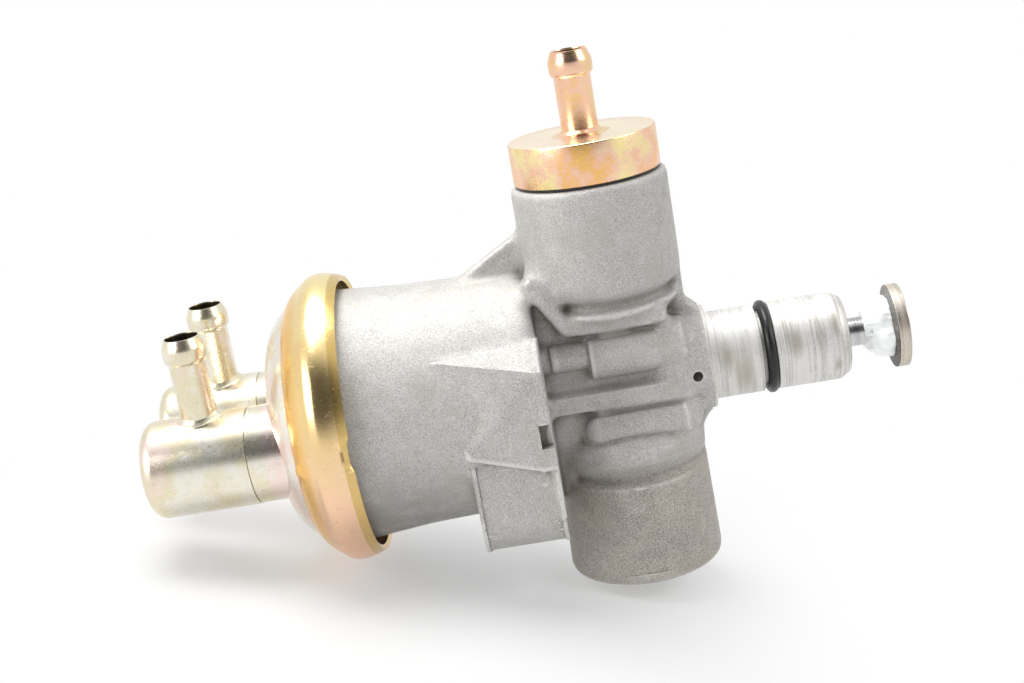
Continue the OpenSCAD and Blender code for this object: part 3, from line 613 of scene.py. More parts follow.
class Shop:
    """Mesh operations that the sub-assemblies share. Sizes go in as millimetres."""

    @staticmethod
    def lathe(
        points: Sequence[Point],
        axis: Axis,
        centre: Point = (0.0, 0.0),
        steps: int = 96,
        closed: bool = False,
    ) -> bmesh.types.BMesh:
        """Turns a profile into a closed solid.

        Args:
            points: (radius, station) along the profile; an open one starts and ends on the axis.
            axis: the line to spin around.
            centre: (y, z) of a line along X, or (x, y) of one along Z.
            steps: faces around.
            closed: True where the profile's last point joins its first.

        Returns:
            The solid.
        """
        bm = bmesh.new()
        u, v = centre
        if axis is Axis.X:
            place = [Vector((s, u, v + r)) for r, s in points]
            origin = Vector((0.0, u, v))
        else:
            place = [Vector((u, v - r, s)) for r, s in points]
            origin = Vector((u, v, 0.0))
        verts = [bm.verts.new(p * MM) for p in place]
        edges = [bm.edges.new(pair) for pair in zip(verts, verts[1:])]
        if closed:
            edges.append(bm.edges.new((verts[-1], verts[0])))
        bmesh.ops.spin(
            bm,
            geom=verts + edges,
            cent=origin * MM,
            axis=Vector(axis.value),
            angle=math.tau,
            steps=steps,
            use_merge=True,
        )
        bmesh.ops.remove_doubles(bm, verts=bm.verts[:], dist=1e-6)
        bmesh.ops.recalc_face_normals(bm, faces=bm.faces[:])
        return bm

    @staticmethod
    def soften(bm: bmesh.types.BMesh, width: float, segments: int = 2, angle: float = 25.0) -> None:
        """Bevels the edges that are sharper than an angle.

        Args:
            bm: the mesh.
            width: the bevel's width in millimetres.
            segments: faces across a bevel.
            angle: degrees between the faces beside an edge.
        """
        sharp = [
            e for e in bm.edges if len(e.link_faces) == 2 and e.calc_face_angle() > math.radians(angle)
        ]
        bmesh.ops.bevel(
            bm,
            geom=sharp,
            offset=width * MM,
            segments=segments,
            profile=0.5,
            affect="EDGES",
            material=-1,
            clamp_overlap=True,
        )

    @staticmethod
    def from_node(name: str) -> bmesh.types.BMesh:
        """A merged copy of a node's mesh."""
        bm = bmesh.new()
        bm.from_mesh(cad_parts[name].data)
        bmesh.ops.remove_doubles(bm, verts=bm.verts[:], dist=1e-6)
        return bm

    @staticmethod
    def join(parts: Iterable[bmesh.types.BMesh]) -> bmesh.types.BMesh:
        """All the parts in one mesh; the parts are freed."""
        whole = bmesh.new()
        for part in parts:
            loose = bpy.data.meshes.new("loose")
            part.to_mesh(loose)
            whole.from_mesh(loose)
            part.free()
            bpy.data.meshes.remove(loose)
        return whole

    @staticmethod
    def object(name: str, bm: bmesh.types.BMesh) -> bpy.types.Object:
        """An object from a mesh; the mesh is freed."""
        data = bpy.data.meshes.new(name)
        bm.to_mesh(data)
        bm.free()
        made = bpy.data.objects.new(name, data)
        bpy.context.scene.collection.objects.link(made)
        return made

    @staticmethod
    def apply(obj: bpy.types.Object) -> None:
        """Applies an object's modifiers to its mesh."""
        graph = bpy.context.evaluated_depsgraph_get()
        graph.update()
        data = bpy.data.meshes.new_from_object(obj.evaluated_get(graph))
        old = obj.data
        obj.modifiers.clear()
        obj.data = data
        bpy.data.meshes.remove(old)

    @staticmethod
    def remesh(obj: bpy.types.Object, voxel: float, passes: int) -> None:
        """Melts an object's solids into one skin and smooths it.

        Args:
            obj: the object.
            voxel: the voxel size in millimetres.
            passes: smoothing passes.
        """
        mod = obj.modifiers.new("skin", "REMESH")
        mod.mode = "VOXEL"
        mod.voxel_size = voxel * MM
        Shop.apply(obj)
        bm = bmesh.new()
        bm.from_mesh(obj.data)
        for _ in range(passes):
            bmesh.ops.smooth_vert(
                bm, verts=bm.verts[:], factor=0.5, use_axis_x=True, use_axis_y=True, use_axis_z=True
            )
        bm.to_mesh(obj.data)
        bm.free()

    @staticmethod
    def relax(obj: bpy.types.Object, spot: Vector, reach: float, passes: int) -> None:
        """Smooths an object's skin round one spot.

        Args:
            obj: the object.
            spot: the centre, in millimetres.
            reach: the radius, in millimetres.
            passes: smoothing passes.
        """
        bm = bmesh.new()
        bm.from_mesh(obj.data)
        near = [v for v in bm.verts if (v.co / MM - spot).length < reach]
        for _ in range(passes):
            bmesh.ops.smooth_vert(
                bm, verts=near, factor=0.5, use_axis_x=True, use_axis_y=True, use_axis_z=True
            )
        bm.to_mesh(obj.data)
        bm.free()

    @staticmethod
    def curve(points: Sequence[Point], steps: int = 5) -> list[Point]:
        """A smooth line through points.

        Args:
            points: the points that it passes through.
            steps: pieces between two points.

        Returns:
            The line's points.
        """
        ends = [points[0], *points, points[-1]]
        line = []
        for p0, p1, p2, p3 in zip(ends, ends[1:], ends[2:], ends[3:]):
            for i in range(steps):
                t = i / steps
                line.append(tuple(
                    p1[k] + 0.5 * t * (p2[k] - p0[k] + t * (2 * p0[k] - 5 * p1[k] + 4 * p2[k] - p3[k]
                                       + t * (3 * (p1[k] - p2[k]) + p3[k] - p0[k])))
                    for k in range(2)))
        return [*line, points[-1]]

    @staticmethod
    def beside(line: Sequence[Point], gap: float) -> list[Point]:
        """The line moved to its left.

        Args:
            line: the line.
            gap: how far, in millimetres.

        Returns:
            The moved line's points.
        """
        sides = []
        for (r0, x0), (r1, x1) in zip(line, line[1:]):
            length = math.hypot(r1 - r0, x1 - x0)
            sides.append(Vector(((x0 - x1) / length, (r1 - r0) / length)))
        moved = []
        for i, point in enumerate(line):
            mitre = sides[max(i - 1, 0)] + sides[min(i, len(sides) - 1)]
            shift = mitre * (2 * gap / mitre.length_squared)
            moved.append((max(point[0] + shift.x, 0.0), point[1] + shift.y))
        return moved

    @staticmethod
    def refine(bm: bmesh.types.BMesh, size: float) -> None:
        """Splits the edges that are longer than a size, in millimetres."""
        for _ in range(7):
            bmesh.ops.triangulate(bm, faces=bm.faces[:])
            long = [e for e in bm.edges if e.calc_length() > size * MM]
            if not long:
                break
            bmesh.ops.subdivide_edges(bm, edges=long, cuts=1)
        bmesh.ops.triangulate(bm, faces=bm.faces[:])
        bmesh.ops.recalc_face_normals(bm, faces=bm.faces[:])

    @staticmethod
    def hull(points: Iterable[tuple]) -> bmesh.types.BMesh:
        """The solid that points span, in millimetres."""
        bm = bmesh.new()
        for point in points:
            bm.verts.new(Vector(point) * MM)
        bmesh.ops.convex_hull(bm, input=bm.verts[:])
        bmesh.ops.delete(bm, geom=[v for v in bm.verts if not v.link_faces], context="VERTS")
        bmesh.ops.recalc_face_normals(bm, faces=bm.faces[:])
        return bm

    @staticmethod
    def cut(obj: bpy.types.Object, cutter: bmesh.types.BMesh, operation: str = "DIFFERENCE") -> None:
        """Takes a solid away from an object, or adds it with UNION."""
        tool = Shop.object("cutter", cutter)
        mod = obj.modifiers.new("cut", "BOOLEAN")
        mod.operation = operation
        mod.solver = "MANIFOLD"
        mod.object = tool
        Shop.apply(obj)
        data = tool.data
        bpy.data.objects.remove(tool)
        bpy.data.meshes.remove(data)

    @staticmethod
    def dress(
        obj: bpy.types.Object,
        body: str,
        slot: str,
        material: bpy.types.Material,
        nodes: Sequence[str],
        angle: float = 32.0,
    ) -> bpy.types.Object:
        """Finishes a piece: material, shading, body and the nodes it stands for.

        Args:
            obj: the piece.
            body: the body it rides on.
            slot: not used.
            material: its material.
            nodes: the nodes it replaces.
            angle: the sharpest angle that is shaded smooth, in degrees.

        Returns:
            The piece.
        """
        obj.data.materials.clear()
        obj.data.materials.append(material)
        obj.data.shade_smooth()
        obj.data.set_sharp_from_angle(angle=math.radians(angle))
        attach(obj, body)
        if nodes:
            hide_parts(*nodes)
        LOG.info("piece %s: %d faces on %s", obj.name, len(obj.data.polygons), body)
        return obj


# ---------------------------------------------------------------- sub-assemblies


@dataclass
class Casting:
    """The aluminium body: a cast skin with machined hollows."""

    palette: Palette
    voxel: float = 0.83
    passes: int = 4
    axis_x: float = -27.4
    top_z: float = 60.0
    bottom_z: float = -60.5
    clamp_x: float = -113.6
    collar_x: float = -1.2
    weep_x: float = -5.2

    def plugs(self) -> list[bmesh.types.BMesh]:
        """Solids that close every opening, so that the skin has no inside."""
        turn = Shop.lathe
        at = (self.axis_x, 0.0)
        return [
            turn([(0, -113.5), (38, -113.5), (38, -108), (34, -66), (0, -66)], Axis.X),
            turn([(0, -55), (9, -55), (9, 40.5), (0, 40.5)], Axis.X, steps=48),
            turn([(0, -60.4), (11, -60.4), (9.5, -30), (0, -30)], Axis.Z, at, 48),
            turn([(0, 20), (18.5, 20), (18.5, 59.9), (0, 59.9)], Axis.Z, at, 64),
            self.drill(1.8, -15.2, -5.0),
        ]

    def hollows(self) -> list[bmesh.types.BMesh]:
        """The machined hollows, the drum's inside and the space of the turned nose."""
        turn = Shop.lathe
        at = (self.axis_x, 0.0)
        x = self.clamp_x
        thread = [(9.0, -61.5)]
        for i in range(10):
            z = -60.3 + i * 1.5
            thread += [(9.0, z), (8.35, z + 0.55), (8.35, z + 0.8), (9.0, z + 1.3)]
        return [
            turn(
                [(0, x - 2), (35.1, x - 2), (35.1, x + 1), (33.1, x + 8), (31.2, -65), (28.2, -62),
                 (9.5, -62), (9.5, -72), (0, -72)], Axis.X),
            turn([(0, -73), (3.2, -73), (3.2, -40), (8, -40), (8, -8.5), (15, -8.5), (15, self.collar_x),
                  (17, self.collar_x), (17, 60), (0, 60)], Axis.X),
            turn([(0, -61.5), *thread, (8.23, -44.5), (8.23, -26), (3, -26), (3, -5), (0, -5)], Axis.Z, at, 72),
            turn([(0, 61), (18, 61), (18, 49), (16, 49), (16, 32), (12.03, 32), (12.03, 26), (10.4, 26),
                  (10.4, 17), (3, 17), (3, 5), (0, 5)], Axis.Z, at, 72),
            self.drill(1.55, -30.0, -7.5),
            self.block((-34.4, -30, -57), (-18.9, -22.2, -30.4)),
            self.block((-52.7, -42, -7.9), (-44.7, -33.8, -0.8)),
        ]

    @staticmethod
    def bar(start: tuple, end: tuple, radius: float) -> bmesh.types.BMesh:
        """A round bar with domed ends.

        Args:
            start: the middle of one end, in millimetres.
            end: the middle of the other end.
            radius: its radius.

        Returns:
            The bar.
        """
        first, last = Vector(start), Vector(end)
        way = last - first
        bm = bmesh.new()
        bmesh.ops.create_uvsphere(bm, u_segments=32, v_segments=16, radius=radius)
        for v in bm.verts:
            if v.co.z > 0.01 * radius:
                v.co.z += way.length
        turn = Vector((0, 0, 1)).rotation_difference(way).to_matrix().to_4x4()
        place = Matrix.Scale(MM, 4) @ Matrix.Translation(first) @ turn
        bmesh.ops.transform(bm, matrix=place, verts=bm.verts[:])
        return bm

    @staticmethod
    def block(low: tuple, high: tuple) -> bmesh.types.BMesh:
        """A box between two corners, in millimetres."""
        bm = bmesh.new()
        bmesh.ops.create_cube(bm, size=1.0)
        for v in bm.verts:
            v.co = Vector(high[k] if v.co[k] > 0 else low[k] for k in range(3)) * MM
        return bm

    def forms(self) -> list[bmesh.types.BMesh]:
        """Cast details on the near side: passage bulge, valley, ridge and trimmed edges."""
        ridge = [(21.3 + 1.3 * math.cos(a), -20.2 + 1.3 * math.sin(a))
                 for a in (math.tau * i / 12 for i in range(12))]
        parts = [Shop.lathe(ridge, Axis.Z, (self.axis_x, 0.0), 96, True)]
        for side in (-1, 1):
            parts += [
                self.bar((-34.7, side * 12.6, -12.9), (-10.0, side * 12.2, -12.3), 5.6),
                self.bar((-48.0, side * 11.0, 1.2), (-14.0, side * 11.0, 1.2), 2.7),
            ]
        parts += [
            self.bar((-50.0, -29.3, 21.4), (-50.2, -36.9, 14.6), 1.15),
            self.bar((-50.2, -36.9, 14.6), (-49.7, -37.0, 0.0), 1.2),
            self.bar((-49.8, -35.6, -8.6), (-49.7, -37.6, -29.0), 1.15),
        ]
        return parts

    def scoops(self) -> list[bmesh.types.BMesh]:
        """Bands under the ridge, deepest on the near and far sides, and creases beside the bulges."""
        under = [(30, -21.8), (25.8, -21.8), (22.5, -27.2), (23.2, -28.7), (25.9, -29.9), (30, -29.9)]
        parts = []
        for side in (-1, 1):
            band = Shop.lathe(under, Axis.Z, (self.axis_x, side * 3.0), 96, True)
            geom = band.verts[:] + band.edges[:] + band.faces[:]
            cut = bmesh.ops.bisect_plane(
                band, geom=geom, plane_co=(-45.5 * MM, 0, 0), plane_no=(1, 0, 0), clear_inner=True)
            rim = [e for e in cut["geom_cut"] if isinstance(e, bmesh.types.BMEdge)]
            bmesh.ops.holes_fill(band, edges=rim)
            bmesh.ops.recalc_face_normals(band, faces=band.faces[:])
            parts += [
                band,
                self.bar((-47.0, side * 15.6, -7.2), (-13.0, side * 15.6, -6.9), 0.9),
                self.bar((-47.0, side * 14.6, 0.2), (-16.0, side * 15.2, 0.2), 0.9),
                self.bar((-34.0, side * 13.2, 2.6), (-14.0, side * 13.4, 2.6), 0.9),
            ]
        return parts

    def trims(self) -> list[bmesh.types.BMesh]:
        """Crisp details on the smoothed skin: the pad, the lug with its trimmed edges, the bulges."""
        pad = [(-79.9, -30.2, 20.3), (-49.3, -28.2, 21.4), (-50.8, -37.15, 14.6), (-74.1, -36.25, -7.9),
               (-53.0, -37.15, -14.4), (-49.3, -37.15, -14.4), (-49.3, -37.15, 14.6), (-79.9, -20, 18),
               (-49.3, -20, 20), (-49.3, -20, -14.4), (-74.1, -20, -7.9)]
        parts = [Shop.hull(pad)]
        for x0, x1, r in ((-73.4, -49.5, 11.68), (-73.5, -72.4, 12.2), (-50.5, -49.4, 12.2)):
            parts.append(Shop.hull(
                (x, y + r * math.cos(a), z + r * math.sin(a))
                for x in (x0, x1)
                for y, z in ((-23.0, -15.0), (-24.5, -28.0))
                for a in (math.tau * i / 72 for i in range(72))))
        parts += [
            self.bar((-49.9, -29.0, 21.6), (-50.0, -37.3, 14.7), 0.7),
            self.bar((-50.0, -37.3, 14.7), (-49.7, -37.4, 0.0), 0.7),
        ]
        for side in (-1, 1):
            upper = [(0, -35.4), (7.10, -35.4), (7.50, -35.0), (7.50, -17.0),
                     (6.60, -12.5), (4.00, -9.0), (0, -9.0)]
            parts += [
                Shop.lathe(upper, Axis.X, (side * 10.10, 9.00), 96),
                Shop.lathe([(0, -48.0), (4.7, -46.5), (4.7, -34.0), (0, -34.0)], Axis.X,
                           (side * (11.40), 10.50), 72),
                self.bar((-34.9, side * 13.5, -12.9), (-12.0, side * 13.1, -12.3), 5.3),
            ]
        for part in parts:
            Shop.refine(part, 1.6)
        return parts

    def drill(self, radius: float, start_y: float, end_y: float) -> bmesh.types.BMesh:
        """A round bar on the weep hole's line.

        Args:
            radius: its radius.
            start_y: where it starts.
            end_y: where it ends.

        Returns:
            The bar.
        """
        bm = bmesh.new()
        bmesh.ops.create_cone(
            bm, cap_ends=True, segments=40, radius1=radius * MM, radius2=radius * MM,
            depth=(end_y - start_y) * MM)
        turn = Matrix.Rotation(math.radians(90), 4, "X")
        bmesh.ops.transform(bm, matrix=turn, verts=bm.verts[:])
        middle = Vector((self.weep_x, (start_y + end_y) / 2, -1.0)) * MM
        bmesh.ops.translate(bm, vec=middle, verts=bm.verts[:])
        return bm

    @staticmethod
    def soft_spots() -> list[tuple[Vector, float, int]]:
        """Places where the cast skin flows more softly: centre, reach and passes."""
        spots = []
        for side in (-1, 1):
            spots += [
                (Vector((-50.8, side * 16.5, 37.0)), 8.0, 80),
                (Vector((-46.0, side * 17.0, 28.0)), 6.5, 10),
                (Vector((-41.0, side * 16.2, 20.4)), 5.0, 8),
                (Vector((-12.0, side * 16.5, 19.0)), 5.0, 14),
                (Vector((-8.0, side * 14.0, 14.0)), 6.0, 14),
                (Vector((-9.0, side * 13.0, -14.0)), 7.0, 12),
                (Vector((-34.7, side * 12.0, -12.7)), 7.0, 6),
            ]
        return spots

    def mark_hollows(self, obj: bpy.types.Object) -> None:
        """Writes how enclosed each vertex is, for the stains and painted shade in the hollows; inside the weep hole
        it writes 5, which is painted black.

        Args:
            obj: the casting.
        """
        data = obj.data
        tree = BVHTree.FromPolygons(
            [v.co[:] for v in data.vertices], [p.vertices[:] for p in data.polygons]
        )
        rays = 14
        reach = 9 * MM
        golden = math.pi * (3 - math.sqrt(5))
        spread = []
        for i in range(rays):
            up = 1 - (i + 0.5) / rays * 0.92
            flat = math.sqrt(1 - up * up)
            spread.append(Vector((math.cos(golden * i) * flat, math.sin(golden * i) * flat, up)))
        values = []
        for vertex in data.vertices:
            turn = vertex.normal.to_track_quat("Z", "Y")
            start = vertex.co + vertex.normal * 0.3 * MM
            hits = 0.0
            for ray in spread:
                found = tree.ray_cast(start, turn @ ray, reach)[3]
                if found is not None:
                    hits += 1 - found / reach
            at = vertex.co / MM
            # The weep hole's inside gets 5, which the material paints black as painted shade.
            bored = math.hypot(at.x - self.weep_x, at.z + 1.0) < 1.6 and -15.4 < at.y < 0
            values.append(5.0 if bored else hits / rays * 2.0)
        layer = data.attributes.new("hollow", "FLOAT", "POINT")
        layer.data.foreach_set("value", values)

    def build(self) -> None:
        """Makes the casting."""
        skin = Shop.join([Shop.from_node("pump_body"), *self.plugs(), *self.forms()])
        made = Shop.object("casting", skin)
        Shop.remesh(made, self.voxel, 1)
        for scoop in self.scoops():
            Shop.cut(made, scoop)
        Shop.remesh(made, self.voxel, self.passes)
        for spot, reach, passes in self.soft_spots():
            Shop.relax(made, spot, reach, passes)
        for trim in self.trims():
            Shop.cut(made, trim, "UNION")
        for hollow in self.hollows():
            Shop.cut(made, hollow)
        self.mark_hollows(made)
        Shop.dress(made, "housing", "cast_aluminium", self.palette.get("cast"), ["pump_body"])


@dataclass
class Nose:
    """The turned nose with its groove, bore and O-ring."""

    palette: Palette
    collar_x: float = -1.2
    collar_r: float = 15.5
    nose_r: float = 13.1
    length: float = 40.6
    groove_x: float = 14.7
    groove_w: float = 4.2
    ring_section: float = 3.2
    ring_proud: float = 0.9
    bore_r: float = 8.6

    def build(self) -> None:
        """Makes the nose and the O-ring."""
        floor = self.nose_r + self.ring_proud - self.ring_section
        x1 = self.groove_x + self.groove_w
        barrel = Shop.lathe(
            [(4.6, -8.4), (14.9, -8.4), (14.9, self.collar_x), (self.collar_r, self.collar_x),
             (self.collar_r, 0), (self.nose_r, 0), (self.nose_r, self.groove_x), (floor, self.groove_x),
             (floor, x1), (self.nose_r, x1), (self.nose_r, self.length - 3), (11.3, self.length),
             (self.bore_r, self.length), (self.bore_r, self.length - 2.4), (9.3, self.length - 2.4),
             (9.3, self.length - 3.7), (self.bore_r, self.length - 3.7), (self.bore_r, 8.5), (4.6, 8.5)],
            Axis.X, steps=128, closed=True)
        Shop.soften(barrel, 0.18, 1)
        made = Shop.object("nose_barrel", barrel)
        Shop.cut(made, Casting(self.palette).drill(1.55, -30.0, -6.5))
        Shop.dress(made, "housing", "cast_aluminium", self.palette.get("turned_nose"), ["pump_body"], 12)
        middle = self.groove_x + self.groove_w / 2 + 0.42
        rim = self.ring_section / 2
        ring = [
            (self.nose_r + self.ring_proud - rim + rim * math.cos(a), middle + rim * math.sin(a))
            for a in (math.tau * i / 20 for i in range(20))
        ]
        seal = Shop.object("o_ring", Shop.lathe(ring, Axis.X, steps=112, closed=True))
        Shop.dress(seal, "housing", "black_rubber", self.palette.get("rubber"), ["nose_o_ring"], 60)


@dataclass
class Cover:
    """The crimped steel cover with its two drawn necks."""

    palette: Palette
    face_x: float = -131.0
    crease_x: float = -122.2
    clamp_x: float = -113.6
    sheet: float = 1.6
    front_x: float = -136.3
    rear_x: float = -138.3
    can_y: float = 18.0
    can_z: float = -1.9
    neck_r: float = 13.6
    band_r: float = 14.15
    neck_reach: float = 3.6

    def outline(self) -> list[Point]:
        """The outer line from the middle over the dome, the crease and the roll to the rim."""
        face, crease, clamp = self.face_x, self.crease_x, self.clamp_x
        dome = [(0, face), (14.4, face + 0.3), (20, face + 0.8), (24.7, face + 1.6), (27.9, face + 2.6),
                (30.4, face + 3.9), (32.4, face + 5.5), (33.8, face + 7), (35, crease)]
        roll = [(35, crease), (36.6, crease + 0.7), (38.4, crease + 2), (40.2, crease + 3.9),
                (41.6, crease + 5.75), (42.75, crease + 7.2), (43.4, crease + 8.9), (43.58, clamp + 1.4),
                (43.55, clamp + 2.9)]
        rim = [(43.2, clamp + 4.6), (42.9, clamp + 5.8), (42.4, clamp + 7.3), (41.8, clamp + 8.75)]
        return [*Shop.curve(dome)[:-1], *Shop.curve(roll), *rim]

    def openings(self) -> list[tuple[float, float, str]]:
        """The two necks: side, open edge of the can and the valve seat inside."""
        return [(-self.can_y, self.front_x, "front_valve_seat"), (self.can_y, self.rear_x, "rear_valve_seat")]

    def neck(self, y: float, open_x: float) -> bmesh.types.BMesh:
        """A drawn neck, with the band that shows between the dome and the can."""
        inside = self.face_x + 9
        band = [(0, inside), (self.band_r, inside), (self.band_r, open_x + 0.3), (self.band_r - 0.2, open_x + 0.05),
                (self.neck_r, open_x + 0.05), (self.neck_r, open_x - self.neck_reach),
                (0, open_x - self.neck_reach)]
        return Shop.lathe(band, Axis.X, (y, self.can_z), 128)

    def dents(self, obj: bpy.types.Object) -> None:
        """The staked notch in the rim and the bump on the crease, as on the worn pump."""
        bm = bmesh.new()
        bm.from_mesh(obj.data)
        notch = Vector((-104.6, -41.8, 1.0)) * MM
        bump = Vector((-119.6, -36.9, -2.7)) * MM
        for v in bm.verts:
            flat = Vector((0, v.co.y, v.co.z)).normalized()
            away = v.co - notch
            near = Vector((away.x * 1.5, away.y, away.z)).length / (4.8 * MM)
            if near < 1:
                v.co -= (flat * 0.9 + Vector((0.9, 0, 0))) * MM * (1 - near ** 4)
            near = (v.co - bump).length / (3.0 * MM)
            if near < 1:
                v.co += (flat * 0.5 - Vector((1, 0, 0))) * 1.3 * MM * (1 - near * near) ** 1.5
        bm.to_mesh(obj.data)
        bm.free()

    def build(self) -> None:
        """Makes the cover."""
        outer = self.outline()
        inner = Shop.beside(outer, self.sheet)
        made = Shop.object("cover", Shop.lathe([*outer, *inner[::-1]], Axis.X, steps=288, closed=True))
        for y, open_x, _ in self.openings():
            Shop.cut(made, self.neck(y, open_x), "UNION")
        room = [p for p in inner if p[1] < self.clamp_x - 0.2]
        Shop.cut(made, Shop.lathe([*room, (room[-1][0], self.clamp_x + 2), (0, self.clamp_x + 2)], Axis.X, steps=288))
        for y, open_x, seat in self.openings():
            low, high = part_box(seat)
            r = (high.z - low.z) / 2 / MM + 0.03
            at = (y, self.can_z)
            Shop.cut(made, Shop.lathe([(0, open_x - 4), (r, open_x - 4), (r, open_x + 0.9), (0, open_x + 0.9)],
                                      Axis.X, at, 72))
            Shop.cut(made, Shop.lathe([(0, open_x - 4), (r - 1, open_x - 4), (r - 1, self.face_x + 14),
                                       (0, self.face_x + 14)], Axis.X, at, 72))
        self.dents(made)
        Shop.dress(made, "housing", "gold_zinc", self.palette.get("cover"), ["diaphragm_cover"], 22)


@dataclass
class HoseNipple:
    """A beaded tube that a hose is pushed over."""

    palette: Palette
    name: str
    node: str
    x: float
    y: float
    foot_z: float
    mouth_z: float
    finish: str = "nipple"
    outer_r: float = 5.35
    inner_r: float = 4.3
    bead_r: float = 6.35

    def build(self) -> None:
        """Makes the nipple."""
        bead = self.mouth_z - 7.3
        r = self.outer_r
        tube = Shop.lathe(
            [(self.inner_r, self.foot_z), (r, self.foot_z), (r, bead - 0.4), (r + 0.12, bead - 0.1),
             (r + 0.75, bead + 0.45), (self.bead_r - 0.06, bead + 1.1), (self.bead_r, bead + 1.8),
             (self.bead_r, bead + 3.9), (self.bead_r - 0.12, bead + 4.6), (self.bead_r - 0.5, bead + 5.5),
             (r + 0.1, bead + 6.5), (r - 0.1, bead + 7.0), (r - 0.3, self.mouth_z), (r - 0.5, self.mouth_z),
             (r - 0.58, self.mouth_z - 0.3), (r - 0.6, self.mouth_z - 0.6), (r - 0.65, self.mouth_z - 6),
             (self.inner_r, self.mouth_z - 9)],
            Axis.Z, (self.x, self.y), 80, True)
        made = Shop.object(self.name, tube)
        # Marks the inside of the bore below the mouth, which the material paints dark as painted shade.
        depth = made.data.attributes.new("bore", "FLOAT", "POINT")
        for v in made.data.vertices:
            out = math.hypot(v.co.x / MM - self.x, v.co.y / MM - self.y)
            below = self.mouth_z - v.co.z / MM
            depth.data[v.index].value = 0.93 if out < self.outer_r - 0.55 and below > 0.3 else 0.0
        slot = "gold_zinc" if self.finish == "nipple" else "pale_zinc"
        Shop.dress(made, "housing", slot, self.palette.get(self.finish), [self.node], 50)


@dataclass
class ValveCan:
    """A drawn can on the cover, with its nipple and the braze around its foot."""

    palette: Palette
    label: str
    y: float
    open_x: float
    z: float = -1.9
    length: float = 32.2
    radius: float = 14.4
    wall: float = 0.77
    nipple_x: float = -149.9

    def braze(self) -> bmesh.types.BMesh:
        """The fillet of braze between the can and its nipple.

        Returns:
            A closed ring that follows the can's round side.
        """
        profile = [(5.2, -1.0), (5.2, 1.5), (5.5, 1.15), (5.9, 0.7), (6.4, 0.28), (6.9, 0.02), (6.9, -1.0)]
        bm = Shop.lathe(profile, Axis.Z, (self.nipple_x, self.y), 64, True)
        for v in bm.verts:
            aside = v.co.y / MM - self.y
            v.co.z += (self.z + math.sqrt(self.radius**2 - aside**2)) * MM
        return bm

    def build(self) -> None:
        """Makes the can, the braze and the nipple."""
        end = self.open_x - self.length
        r, t = self.radius, self.wall
        turned = [(r - t, self.open_x), (r, self.open_x)]
        for i in range(10):
            a = math.radians(90 * i / 9)
            turned.append((r - 4 + 4 * math.cos(a), end + 4.8 - 4 * math.sin(a)))
        turned += [(6, end + 0.2), (0, end), (0, end + t), (6, end + 0.2 + t)]
        for i in range(9, -1, -1):
            a = math.radians(90 * i / 9)
            turned.append((r - 4 + (4 - t) * math.cos(a), end + 4.8 - (4 - t) * math.sin(a)))
        can = Shop.object(f"{self.label}_can", Shop.lathe(turned, Axis.X, (self.y, self.z), 128, True))
        hole = Shop.lathe([(0, 8), (5.38, 8), (5.38, 17), (0, 17)], Axis.Z, (self.nipple_x, self.y), 64)
        Shop.cut(can, hole)
        finish = self.palette.get("can")
        Shop.dress(can, "housing", "pale_zinc", finish, [f"{self.label}_valve_can"])
        ring = Shop.object(f"{self.label}_braze", self.braze())
        Shop.dress(ring, "housing", "pale_zinc", finish, [], 60)
        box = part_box(f"{self.label}_hose_nipple")
        HoseNipple(
            self.palette, f"{self.label}_nipple", f"{self.label}_hose_nipple", self.nipple_x, self.y,
            box[0].z / MM, box[1].z / MM, "can").build()


@dataclass
class TopCap:
    """The plated cap in the top chamber, with its nipple and the foot of braze."""

    palette: Palette
    axis_x: float = -27.4
    base_z: float = 60.66
    height: float = 12.0
    radius: float = 21.5
    bore_r: float = 18.0

    def build(self) -> None:
        """Makes the cap, its braze and its nipple."""
        b, h, r = self.base_z, self.height, self.radius
        cap = Shop.lathe(
            [(5.38, b - 10), (17.0, b - 10), (17.97, b - 9), (17.97, b), (r, b), (r, b + h),
             (5.38, b + h)], Axis.Z, (self.axis_x, 0.0), 144, True)
        Shop.soften(cap, 0.45, 3)
        made = Shop.object("cap", cap)
        Shop.dress(made, "housing", "gold_zinc", self.palette.get("cap"), ["top_cap"])
        foot = Shop.lathe(
            [(5.2, b + h - 0.4), (8.4, b + h - 0.4), (8.4, b + h + 0.02), (7.2, b + h + 0.18),
             (6.2, b + h + 0.6), (5.6, b + h + 1.3), (5.2, b + h + 1.5)],
            Axis.Z, (self.axis_x, 0.0), 64, True)
        ring = Shop.object("cap_braze", foot)
        Shop.dress(ring, "housing", "gold_zinc", self.palette.get("nipple"), [], 60)
        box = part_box("top_hose_nipple")
        HoseNipple(
            self.palette, "top_nipple", "top_hose_nipple", self.axis_x, 0.0, box[0].z / MM, box[1].z / MM
        ).build()


